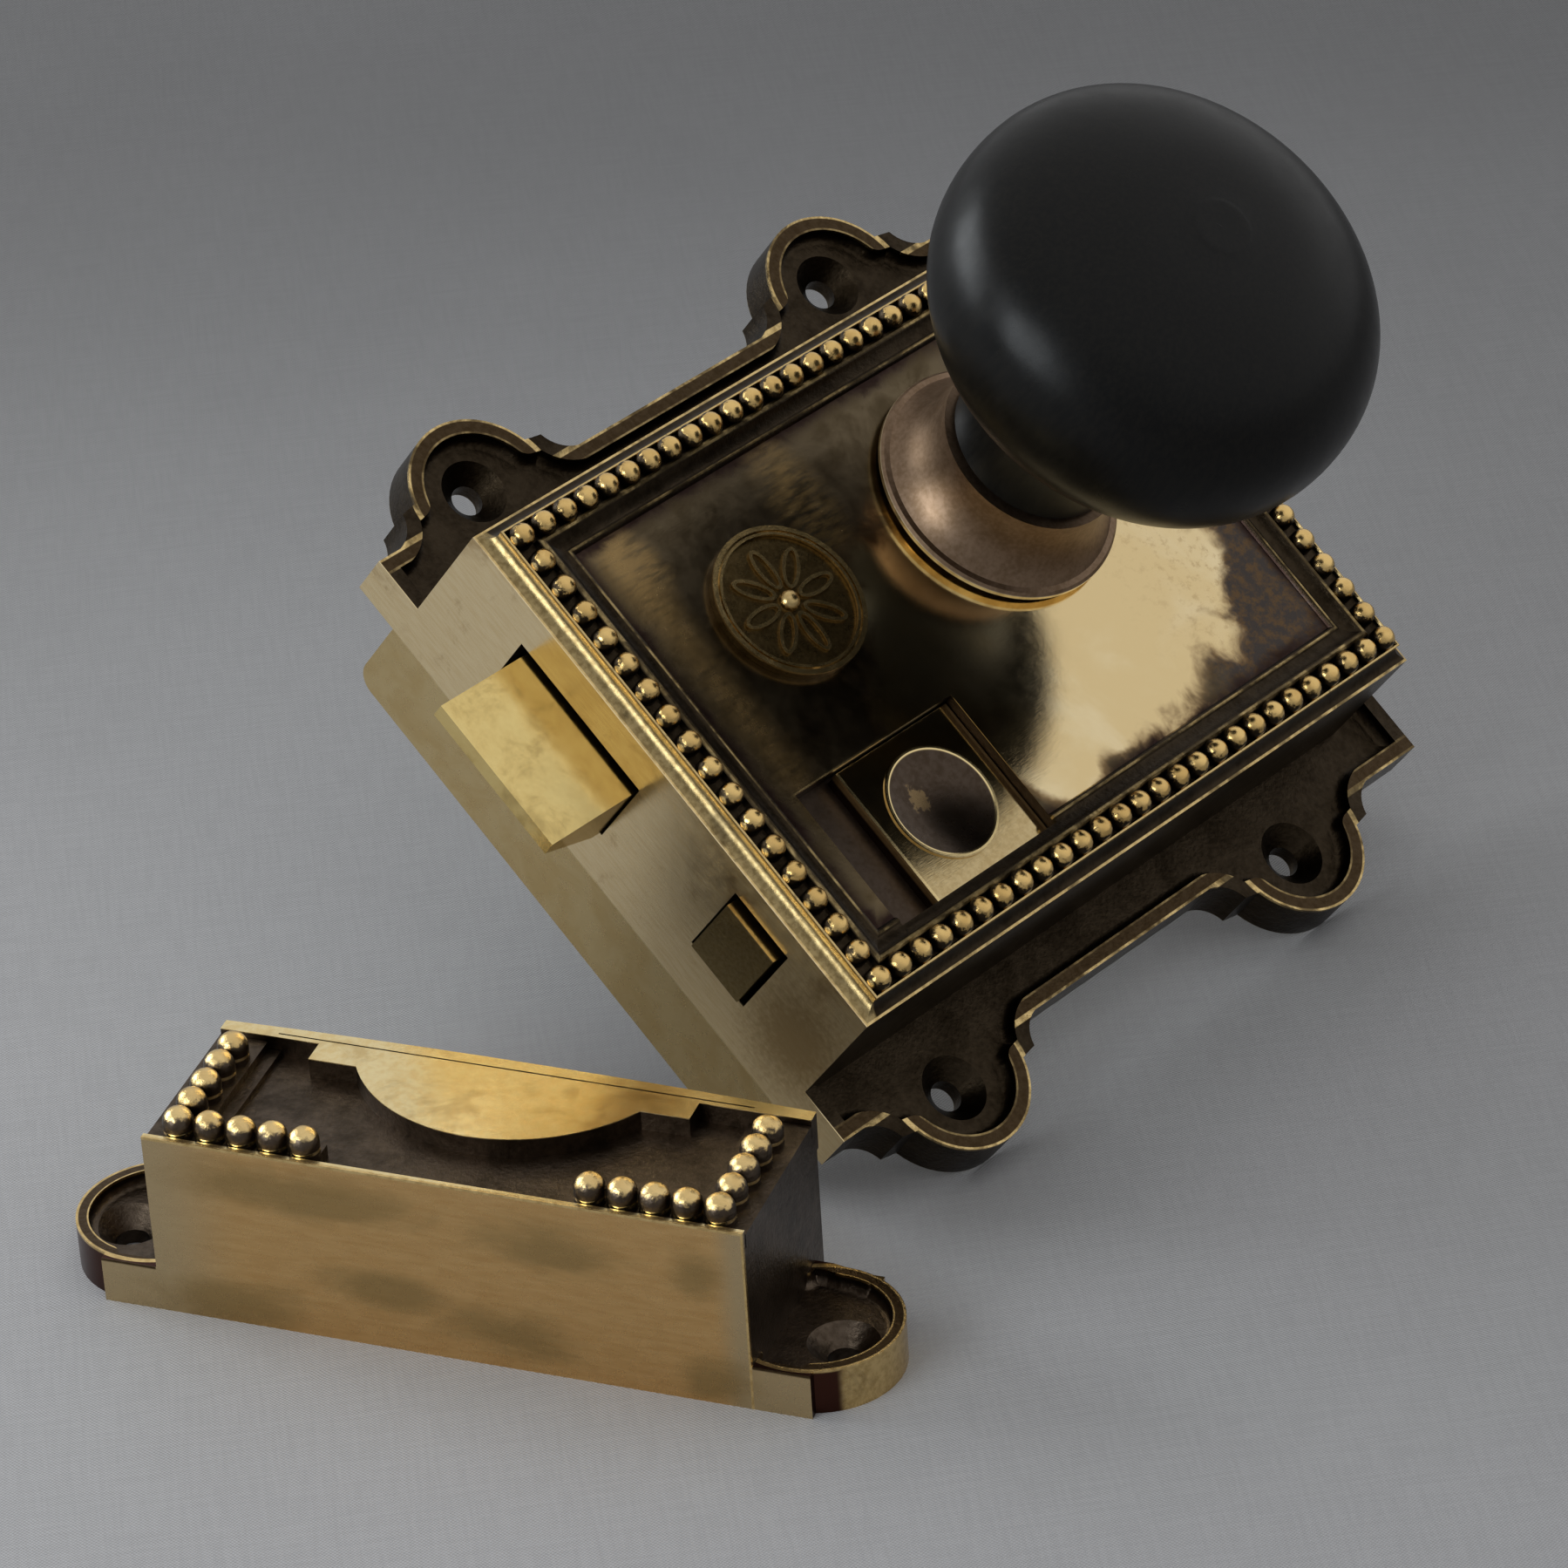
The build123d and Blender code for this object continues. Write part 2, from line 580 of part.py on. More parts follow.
def knob():
    """Turned ebony knob: a tenon in the collar, a waisted neck and a full round head."""
    steps = [-58, -45, -30, -15, -4, 4, 15, 30, 45, 60, 75, 84]
    crown = [head_point(a) for a in steps] + [(0, HEAD_MIDDLE + HEAD_HALF)]
    neck = [(0, TENON_LOW), (NECK_RADIUS, TENON_LOW), (NECK_RADIUS, COLLAR_HEIGHT + 0.2),
            (NECK_RADIUS + 0.6, COLLAR_HEIGHT + 0.6)]
    waist = Spline(neck[-1], (NECK_RADIUS + 0.1, 18.0), (NECK_RADIUS + 1.6, 24.5), crown[0])
    dome = Spline(*crown, tangents=((1, 0.75), (-1, 0)))
    axis_line = Line(crown[-1], neck[0])
    profile = make_face(Polyline(*neck).edges() + [waist, dome, axis_line])
    solid = turn_about_knob(profile)
    solid -= square_bore(FIELD_FRONT, FIELD_FRONT + SPINDLE_IN_KNOB + 0.2)
    return solid - screw_bar(GRUB_RADIUS + RUNNING, 20)


def badge():
    """Round applied disc with a raised double rim and a rosette of open petals."""
    disc = rod(BADGE_X, BADGE_Z, BADGE_RADIUS, FIELD_FRONT + SEAT, FIELD_FRONT + BADGE_THICK)
    top = FIELD_FRONT + BADGE_THICK
    for outer, inner, rise in ((0, 0.7, BADGE_RIM), (0.6, 1.1, BADGE_RIM / 3), (1.0, 1.4, BADGE_RIM)):
        ring = rod(BADGE_X, BADGE_Z, BADGE_RADIUS - outer, top - 0.2, top + rise)
        disc += ring - rod(BADGE_X, BADGE_Z, BADGE_RADIUS - inner, top - 1, top + 1)
    petal = Pos(5.2, 0) * (Ellipse(3.3, 1.35) - Ellipse(2.7, 0.8))
    for i in range(PETALS):
        disc += slab(Pos(BADGE_X, BADGE_Z) * Rot(0, 0, 360 * i / PETALS) * petal, top - 0.2, top + 0.35)
    disc += Pos(BADGE_X, -top, BADGE_Z) * Rot(90, 0, 0) * Sphere(1.5)
    disc -= rod(BADGE_X, BADGE_Z, BADGE_RADIUS, FIELD_FRONT - 2, FIELD_FRONT + SEAT)
    return disc - [rod(x, z, BADGE_PIN + RUNNING, 0, FIELD_FRONT + 0.6) for x, z in badge_pin_places()]


def badge_pins():
    """Two pins that rivet the badge through the front plate."""
    pins = []
    for x, z in badge_pin_places():
        pin = rod(x, z, BADGE_PIN, PLATE_BACK - 0.4, FIELD_FRONT + 0.5)
        pins.append(pin + rod(x, z, 2 * BADGE_PIN, PLATE_BACK - 0.9, PLATE_BACK - SEAT))
    return Part() + pins


def snib_bolt():
    """Small bolt with the carriage plate that carries its slide."""
    left = WALL + SLIDING + SNIB_TRAVEL
    right = WINDOW[1] + SNIB_TRAVEL + 1.1
    low = WINDOW[2] - CARRIAGE_OVER
    high = WINDOW[3] + CARRIAGE_OVER
    bolt = block(left, right, low, high, CARRIAGE_BACK, CARRIAGE_FRONT)
    bolt += block(-SNIB_OUT, SNIB_TAIL, SNIB_LOW, SNIB_HIGH, SNIB_BACK, SNIB_FRONT)
    bolt += block(left, SNIB_TAIL, SNIB_LOW, SNIB_HIGH, SNIB_PAD, CARRIAGE_BACK + 0.5)
    bolt -= [rod(x, z, STUD_RADIUS + RUNNING, 0, CARRIAGE_FRONT + 1) for x, z in stud_places()]
    return bolt - rod(SNIB_SPRING_X, SNIB_MIDDLE, RIVET_RADIUS + RUNNING, 0, SNIB_PAD + 5)


def stud_places():
    """Centres of the two studs that join the slide to the carriage."""
    x = (WINDOW[0] + SNIB_TRAVEL + WINDOW[1]) / 2
    return [(x, WINDOW[2] + 3.0), (x, WINDOW[3] - 3.0)]


def snib_slide():
    """Thumb slide with a round dished hollow."""
    left = WINDOW[0] + SNIB_TRAVEL
    right = WINDOW[1] - 0.2
    plate = block(left, right, WINDOW[2] + SLIDING, WINDOW[3] - SLIDING, CARRIAGE_FRONT + SEAT, SLIDE_FRONT)
    x = (left + right) / 2
    z = (WINDOW[2] + WINDOW[3]) / 2
    plate += rod(x, z, DISH_RADIUS + 0.5, SLIDE_FRONT - 0.5, SLIDE_FRONT + 0.25)
    ball = (DISH_RADIUS ** 2 + DISH_DEEP ** 2) / (2 * DISH_DEEP)
    plate -= Pos(x, -(SLIDE_FRONT + 0.25 - DISH_DEEP + ball), z) * Sphere(ball)
    return plate - [rod(a, b, STUD_RADIUS + RUNNING, 0, STUD_END + RUNNING) for a, b in stud_places()]


def slide_studs():
    """Two riveted studs behind the slide."""
    studs = []
    for x, z in stud_places():
        stud = rod(x, z, STUD_RADIUS, CARRIAGE_BACK - 0.5, STUD_END)
        studs.append(stud + rod(x, z, STUD_RADIUS + 0.9, CARRIAGE_BACK - 0.95, CARRIAGE_BACK - SEAT))
    return Part() + studs


def snib_spring():
    """Bowed leaf that presses on the cap and holds the snib where it is put."""
    near = SNIB_PAD - SEAT
    low = CAP_THICK + SLIDING + LEAF
    arc = ThreePointArc((SNIB_SPRING_X - SNIB_SPRING_HALF, -low), (SNIB_SPRING_X, -near),
                        (SNIB_SPRING_X + SNIB_SPRING_HALF, -low))
    inner = ThreePointArc((SNIB_SPRING_X + SNIB_SPRING_HALF, -low + LEAF), (SNIB_SPRING_X, -near + LEAF),
                          (SNIB_SPRING_X - SNIB_SPRING_HALF, -low + LEAF))
    ends = [Line(arc @ 1, inner @ 0), Line(inner @ 1, arc @ 0)]
    leaf = extrude(Plane.XY.offset(SNIB_LOW + LEAF_EDGE) * make_face([arc, inner] + ends), LEAF_WIDE)
    return leaf - rod(SNIB_SPRING_X, SNIB_MIDDLE, RIVET_RADIUS + RUNNING, 0, SNIB_PAD + 5)


def snib_rivet():
    """Rivet that holds the leaf spring."""
    top = SNIB_PAD - LEAF - 0.2
    shank = rod(SNIB_SPRING_X, SNIB_MIDDLE, RIVET_RADIUS, top - 0.5, SNIB_PAD + 4)
    return shank + rod(SNIB_SPRING_X, SNIB_MIDDLE, RIVET_RADIUS + 1.0, top - 0.9, top)


def keep_block(x0, x1, y0, y1, z0, z1):
    """Box in the keep's own axes."""
    return Pos((x0 + x1) / 2, (y0 + y1) / 2, (z0 + z1) / 2) * Box(x1 - x0, y1 - y0, z1 - z0)


def keep_lug_outline():
    """Outline of the right-hand lug, from just inside the body's end."""
    high = KEEP_LOBE[1] + KEEP_LOBE_RADIUS
    points = [(-1, 0), (KEEP_LUG_OUT, 0), (KEEP_LUG_OUT, KEEP_LOBE[1]), (KEEP_HOLE_OUT + 1.6, high - 3.0),
              (KEEP_HOLE_OUT + 1.4, high - 0.7), (KEEP_LUG_OUT - 0.2, high - 0.7), (2.6, high + 0.4),
              (-1, high + 0.4)]
    return make_face(Polyline(*points, close=True)) + Pos(*KEEP_LOBE) * Circle(KEEP_LOBE_RADIUS)


def keep_lug():
    """Right-hand screw lug of the keep, with a raised rim and a face sunk in a cove."""
    outline = keep_lug_outline()
    level = KEEP_LUG_THICK - KEEP_LUG_SUNK
    inner = offset(outline, amount=-KEEP_LUG_RIM, kind=Kind.ARC)
    tray = extrude(Plane.XY.offset(level) * inner, KEEP_LUG_SUNK + 1)
    lug = extrude(outline, KEEP_LUG_THICK)
    lug -= fillet(tray.edges().group_by(Axis.Z)[0], KEEP_COVE)
    place = Pos(KEEP_HOLE_OUT, KEEP_HOLE_DEEP, 0)
    sink = COUNTERSINK - SCREW_HOLE
    cone = Pos(0, 0, level - sink / 2) * Cone(SCREW_HOLE, COUNTERSINK, sink)
    lug -= [place * Cylinder(SCREW_HOLE, 20), place * cone]
    return lug - keep_block(-2 * KEEP_LOBE_RADIUS, 0, -1, KEEP_LENGTH, -1, KEEP_HEIGHT)


def keep_bead(x, y):
    """One bead of the keep, as a short peg with a round end."""
    middle = KEEP_BEAD_TOP - KEEP_BEAD_RADIUS
    low = KEEP_FIELD + KEEP_BEAD_PAD - 0.5
    peg = Pos(x, y, (low + middle) / 2) * Cylinder(KEEP_BEAD_RADIUS, middle - low)
    return peg + Pos(x, y, middle) * Sphere(KEEP_BEAD_RADIUS)


def keep_beads():
    """Corner group of beads on the left of the keep's face, on its base strips."""
    x, y = KEEP_BEAD_INSET
    step_x = (CASE_HEIGHT - 2 * BEAD_INSET) / BEADS_UP
    base = KEEP_BEAD_BASE
    low = KEEP_FIELD - 1
    top = KEEP_FIELD + KEEP_BEAD_PAD
    near = KEEP_RIM + 0.3
    far = KEEP_DEPTH - 1.5
    reach = x + 4 * step_x
    group = [keep_block(0, x + base, near, far, low, top)]
    group.append(keep_block(x - base, reach, near, y + base, low, top))
    group.append(Pos(reach, y, (low + top) / 2) * Cylinder(y - near, top - low))
    group.append(keep_block(reach, reach + y - near, y, y + base, low, top))
    group.append(keep_block(x + base, x + base + 1.8, near, far, low, KEEP_FIELD + 0.8))
    group += [keep_bead(x + i * step_x, y) for i in range(5)]
    group += [keep_bead(x, y + j * KEEP_BEAD_STEP) for j in range(1, 5)]
    return group


def keep_plateau():
    """Flat half-moon with a square tab on each side, level with the rim."""
    middle = KEEP_LENGTH / 2 + PLATEAU_SHIFT
    moon = Pos(middle, PLATEAU_LOW + PLATEAU_RADIUS) * Circle(PLATEAU_RADIUS)
    moon &= Pos(middle, TAB_HIGH / 2) * Rectangle(KEEP_LENGTH, TAB_HIGH)
    moon += Pos(middle, (TAB_LOW + TAB_HIGH) / 2) * Rectangle(PLATEAU_TABS, TAB_HIGH - TAB_LOW)
    return extrude(Plane.XY.offset(KEEP_FIELD - 1) * moon, KEEP_HEIGHT - KEEP_FIELD + 1)


def keep_strip():
    """Bowed strip along the edge of the keep's mouth."""
    inner = KEEP_DEPTH - 1.4
    outer = KEEP_DEPTH + STRIP_OUT
    low = KEEP_FIELD - KEEP_WALL
    bow = ThreePointArc((KEEP_LENGTH, outer), (KEEP_LENGTH / 2, outer + STRIP_BULGE), (0, outer))
    sides = Polyline((0, outer), (0, inner), (KEEP_LENGTH, inner), (KEEP_LENGTH, outer))
    strip = extrude(Plane.XY.offset(low) * make_face(sides.edges() + [bow]), KEEP_HEIGHT - low)
    slit = [8.0, KEEP_LENGTH - 8.0, TAB_HIGH, TAB_HIGH + 0.25]
    groove = keep_block(*slit, KEEP_HEIGHT - 0.5, KEEP_HEIGHT + 1)
    return strip - groove


def keep():
    """Box keep: open at the back and along the side that faces the latch."""
    middle = Plane.YZ.offset(KEEP_LENGTH / 2)
    body = keep_block(0, KEEP_LENGTH, 0, KEEP_DEPTH, 0, KEEP_FIELD)
    body += keep_block(0, KEEP_LENGTH, 0, KEEP_RIM, 0, KEEP_HEIGHT)
    body += [keep_strip(), keep_plateau()]
    beads = keep_beads()
    body += beads + [mirror(shape, middle) for shape in beads]
    lug = Pos(KEEP_LENGTH, 0, 0) * keep_lug()
    body += [lug, mirror(lug, middle)]
    end = KEEP_LENGTH - KEEP_WALL
    return body - keep_block(KEEP_WALL, end, KEEP_WALL, KEEP_DEPTH + 5, -1, KEEP_FIELD - KEEP_WALL)


LOCK_NODES = {
    "case": case, "cap_plate": cap_plate, "cap_screws": cap_screws, "badge": badge, "badge_pins": badge_pins,
    "latch_bolt": latch_bolt, "latch_spring": latch_spring, "spring_post": spring_post,
    "tail_post": tail_post, "tail_clip": tail_clip, "stop_pin": stop_pin, "follower": follower,
    "spindle": spindle, "knob": knob, "knob_collar": knob_collar, "collar_screw": collar_screw,
    "snib_bolt": snib_bolt, "snib_slide": snib_slide, "slide_studs": slide_studs,
    "snib_spring": snib_spring, "snib_rivet": snib_rivet,
}


def lock_tilt():
    """Lean of the latch, standing on its lower lugs and its spindle's end."""
    return Pos(0, 0, LUG_APEX * cos(radians(LEAN))) * Rot(-LEAN, 0, 0)


def keep_place():
    """Place of the keep on the table, found from the latch's top corner bead."""
    bead = lock_tilt() * Pos(BEAD_INSET, -BEAD_FRONT - 0.3, HALF - BEAD_INSET)
    x = bead.position.X + KEEP_FROM_BEAD[0]
    y = bead.position.Y + KEEP_FROM_BEAD[1]
    return Pos(x, y, 0) * Rot(0, 0, KEEP_TURN) * Pos(KEEP_LUG_OUT, 0, 0)


def placed():
    """Every node in the row frame, which has its origin under the middle of the whole part."""
    nodes = {name: lock_tilt() * make() for name, make in LOCK_NODES.items()}
    nodes["keep"] = keep_place() * keep()
    box = Compound(children=[Compound(shape.wrapped) for shape in nodes.values()]).bounding_box()
    shift = Pos(-(box.min.X + box.max.X) / 2, -(box.min.Y + box.max.Y) / 2, 0)
    return {name: shift * shape for name, shape in nodes.items()}, shift


def main():
    os.makedirs("parts", exist_ok=True)
    nodes, shift = placed()
    for name, shape in nodes.items():
        export_step(shape, f"parts/{name}.step")
    print("moved to the middle by", shift.position)


if __name__ == "__main__":
    main()
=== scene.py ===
import json
import math

import bpy
from mathutils import Matrix, Vector

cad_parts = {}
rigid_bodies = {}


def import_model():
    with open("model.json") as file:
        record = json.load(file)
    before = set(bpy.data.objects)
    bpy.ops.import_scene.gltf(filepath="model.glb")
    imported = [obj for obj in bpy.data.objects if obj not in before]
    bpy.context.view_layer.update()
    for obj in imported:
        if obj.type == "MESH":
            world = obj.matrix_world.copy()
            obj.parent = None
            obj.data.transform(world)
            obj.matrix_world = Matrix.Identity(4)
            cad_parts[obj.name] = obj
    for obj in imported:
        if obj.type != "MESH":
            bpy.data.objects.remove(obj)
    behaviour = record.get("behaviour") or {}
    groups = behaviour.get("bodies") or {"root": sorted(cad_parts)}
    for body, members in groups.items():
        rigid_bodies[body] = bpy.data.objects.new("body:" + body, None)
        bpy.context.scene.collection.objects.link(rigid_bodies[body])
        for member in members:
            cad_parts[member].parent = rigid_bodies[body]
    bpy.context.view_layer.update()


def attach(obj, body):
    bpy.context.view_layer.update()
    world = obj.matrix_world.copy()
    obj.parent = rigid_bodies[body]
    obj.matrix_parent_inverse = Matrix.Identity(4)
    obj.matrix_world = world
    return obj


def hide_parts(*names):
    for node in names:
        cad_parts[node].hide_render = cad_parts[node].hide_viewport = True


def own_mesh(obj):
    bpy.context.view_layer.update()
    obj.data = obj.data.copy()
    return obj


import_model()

# Millimetres in a metre. The sizes below are in millimetres where nothing else is said
METRE = 1000

# Camera, fitted to the photograph: place from the latch's origin and direction in metres, roll in degrees
CAMERA_FROM_LOCK = Vector((-0.59109, -0.59661, 0.53135))
CAMERA_DIRECTION = Vector((0.61736, 0.58488, -0.52610))
CAMERA_ROLL = -3.675
CAMERA_LENS = 171.97
CAMERA_SENSOR = 36.0
CAMERA_FAR = 20

# Sizes of the latch in its mounted frame: x in from the forend, front out from the wall, z up
CASE_LENGTH = 114.3
CASE_HALF = 41.275
LIP_BACK = 12.7
EDGE_FRONT = 26.0
FIELD_FRONT = 28.26
FLANGE_FRONT = 6.9
FLANGE_WIDTH = 8.3
FLANGE_RIM = 2.2
LUG_ACROSS = (21.6, 94.0)
LOBE_RISE = 9.1
LOBE_RADIUS = 11.35
BORDER = 9.6
SLIDE = (22.0, 44.3, -33.2, -11.0)
SLIDE_FRONT = 26.4
WINDOW_LEFT = 13.1
# Right end of the painted highlight along the window's upper edge
WINDOW_HIGHLIGHT_RIGHT = 31.0
DISH_RADIUS = 8.0
SNIB_FRONT = 21.0
COLLAR_RING_RISE = (2.0, 1.8)
MOTIF_RISE = (1.02, 1.22)

# Bands of the border, as distances in from its edge: the flat outside the beads, its soft end, and the beads
OUTER_BAND = (-0.3, 1.9)
BAND_END = (2.4, 2.0)
BEAD_BAND = (2.1, 5.6)

# Soft limits of the bead tops and of the window's floor (front), the forend and the snib's carriage (x)
BEAD_TOPS = (30.05, 30.5)
WINDOW_FLOOR = (19.0, 20.0)
FOREND_FACE = (0.18, 0.04)
CARRIAGE_FROM = (2.0, 3.0)

# Bright lines of the border: distances in from its edge with a softness, and how wear lets them show
BORDER_LINES = (
    ((-0.2, 0.34, 0.06), (0.32, 0.52, 0.25, 1.0)),
    ((1.95, 2.35, 0.06), (0.30, 0.52, 0.4, 1.0)),
    ((5.65, 6.3, 0.1), (0.42, 0.66, 0.08, 0.7)),
    ((8.75, 9.1, 0.08), (0.40, 0.62, 0.06, 0.6)),
)

# Front plate: where its far end turns grey, where its dark margin ends, and where a painted golden reflection
# lies on its left
FAR_END = (78.0, 88.0)
MARGIN = (11.8, 14.5)
MARGIN_SWAY = 5.0
PAINTED_SHEEN_ACROSS = (12.5, 17.5, 3.0)
PAINTED_SHEEN_UP = (-24.0, 0.0)
FRECKLES_ACROSS = (74.0, 96.0)

# Round places: middle, radii and softness of the edge.
# The middle is x and z on the front plate, and front and z on the forend
PLACES = {
    "clean_disc": ((66.0, -8.0), (31.4, 22.2), 0.09),
    "clean_corner": ((52.0, -25.0), (7.5, 7.5), 0.10),
    "fringe_disc": ((66.0, -8.0), (33.0, 23.8), 0.08),
    "fringe_corner": ((52.0, -25.0), (8.4, 8.4), 0.12),
    "rubbed_left": ((17.0, 25.5), (3.0, 5.0), 0.6),
    "rubbed_middle": ((45.5, 21.0), (4.0, 8.5), 0.7),
    # Painted shade on the forend by the small bolt
    "forend_painted_shade": ((12.5, -35.5), (8.0, 7.5), 0.7),
}

# Painted glint in the slide's dish: its middle from the dish's, its radii and softness
DISH_GLINT = (-2.0, 2.2)
DISH_GLINT_RADII = (1.3, 1.6)
DISH_GLINT_SOFT = 0.25

# Sizes of the keep in its own frame: x along its near face, y in from it, z up. Its turn is in degrees
KEEP_LENGTH = 82.6
KEEP_TURN = -68.1
KEEP_TOP = 27.3
KEEP_BEAD_TOPS = (29.2, 29.8)
KEEP_LUG = 6.65
KEEP_LOBE = (4.5, 12.3)
KEEP_LOBE_RADIUS = 11.5
KEEP_LUG_RIM = 1.7
KEEP_NEAR = (0.12, 0.03)
KEEP_LEFT_END = (14.0, 0.0)
KEEP_RIGHT_END = (KEEP_LENGTH - 5.0, KEEP_LENGTH - 1.0)
KEEP_BRIGHT_FROM = (2.5, 3.2)
KEEP_BRIGHT_TO = (22.0, 16.0)

# Dark stains on the keep's near face: middle along and up, and the two radii
KEEP_STAINS = ((56.0, 20.0, 9.0, 3.5), (50.0, 5.5, 8.0, 3.5), (11.0, 3.0, 10.0, 3.0), (76.0, 20.0, 3.5, 3.0),
               (78.0, 3.0, 4.0, 3.0), (20.0, 22.0, 16.0, 3.0), (33.0, 9.0, 7.0, 2.5))
KEEP_STAIN_SOFT = 0.7

# Colours in linear light. A pair is blended by a noise
GOLD = (0.84, 0.62, 0.28)
UMBER = (0.046, 0.033, 0.020)
FAR_GREY = ((0.062, 0.052, 0.047), (0.12, 0.075, 0.040))
POLISHED = ((0.90, 0.74, 0.45), (0.82, 0.63, 0.33))
FRECKLE = (0.48, 0.33, 0.16)
FOREND_GOLD = ((0.95, 0.77, 0.46), (0.86, 0.67, 0.37))
FOREND_STAIN = (0.42, 0.27, 0.11)
# Colour of the painted shade on the forend by the small bolt
FOREND_PAINTED_SHADE = (0.40, 0.27, 0.115)
KEEP_NEAR_GOLD = ((0.73, 0.475, 0.205), (0.62, 0.375, 0.145))
KEEP_ENDS = (0.52, 0.42, 0.25)
KEEP_STAIN = (0.36, 0.245, 0.10)
KEEP_TOP_GOLD = ((0.94, 0.78, 0.43), (0.88, 0.68, 0.33))
KEEP_TOP_STAIN = (0.52, 0.36, 0.15)
EBONY = ((0.0022, 0.0022, 0.0020), (0.0052, 0.0046, 0.0036))
STEEL = ((0.30, 0.29, 0.27), (0.12, 0.085, 0.06))
CLOTH = (0.362, 0.358, 0.362)

# Roughness of the surfaces with blended colours
FAR_ROUGH = 0.24
POLISHED_ROUGH = 0.075
FOREND_ROUGH = 0.20
KEEP_NEAR_ROUGH = 0.27
KEEP_TOP_ROUGH = 0.20
EBONY_ROUGH = (0.27, 0.36)
STEEL_ROUGH = (0.34, 0.55)
CLOTH_ROUGH = 0.92
EBONY_SHEEN = 0.18

# Finishes: colour in linear light, roughness, and the share of the colour that its deeper tone keeps
FINISHES = {
    "umber": (UMBER, 0.34, 0.45),
    "olive": ((0.150, 0.114, 0.068), 0.22, 0.55),
    "plum": ((0.034, 0.020, 0.017), 0.30, 0.72),
    # Painted reflection: a golden band on the front plate's left
    "painted_sheen": ((0.36, 0.235, 0.095), 0.26, 1.0),
    "rubbed": ((0.34, 0.225, 0.095), 0.25, 1.0),
    "fringe": ((0.34, 0.215, 0.10), 0.16, 1.0),
    "outer_band": ((0.40, 0.30, 0.14), 0.27, 0.6),
    "border_line": (GOLD, 0.26, 0.72),
    "bead": ((0.90, 0.62, 0.24), 0.22, 0.8),
    "flange_rim": ((0.066, 0.043, 0.022), 0.30, 0.72),
    "flange_line": (GOLD, 0.25, 0.6),
    "window_wall": ((0.040, 0.026, 0.018), 0.4, 0.72),
    # Painted highlight on the window's upper cut edge
    "window_cut_highlight": (GOLD, 0.22, 1.0),
    "lip": ((0.66, 0.51, 0.26), 0.28, 0.92),
    "keep": ((0.115, 0.086, 0.062), 0.30, 0.40),
    "keep_bead": ((0.90, 0.66, 0.30), 0.22, 0.85),
    "keep_rim": ((0.085, 0.055, 0.028), 0.28, 0.72),
    "keep_wall": ((0.060, 0.023, 0.016), 0.30, 1.0),
    "keep_line": (GOLD, 0.23, 0.72),
    "latch": ((0.88, 0.68, 0.28), 0.16, 0.9),
    "stud": (GOLD, 0.24, 0.9),
    "inner": ((0.60, 0.40, 0.17), 0.34, 0.9),
    "snib": ((0.34, 0.26, 0.12), 0.20, 0.8),
    "snib_side": (GOLD, 0.18, 0.72),
    "carriage": ((0.105, 0.078, 0.060), 0.36, 0.72),
    "slide": ((0.62, 0.48, 0.25), 0.08, 0.85),
    "slide_side": ((0.045, 0.024, 0.017), 0.34, 0.72),
    "slide_edge": ((0.92, 0.72, 0.36), 0.18, 1.0),
    # Painted reflection: the knob's dark in the slide's dish, then a painted glint in it
    "painted_dish_reflection": ((0.085, 0.062, 0.046), 0.26, 0.72),
    "dish_painted_glint": ((0.40, 0.27, 0.12), 0.30, 1.0),
    "badge": ((0.22, 0.150, 0.060), 0.28, 0.55),
    "badge_rubbed": ((0.62, 0.45, 0.20), 0.24, 0.85),
    "collar": ((0.265, 0.180, 0.118), 0.40, 0.72),
    "collar_ring": ((0.98, 0.86, 0.58), 0.20, 0.72),
}

# A deeper tone loses more of its green and blue. The noise's limits between the two tones
DEEPER = (1.0, 0.95, 0.86)
DEEPER_FROM = (0.36, 0.66)

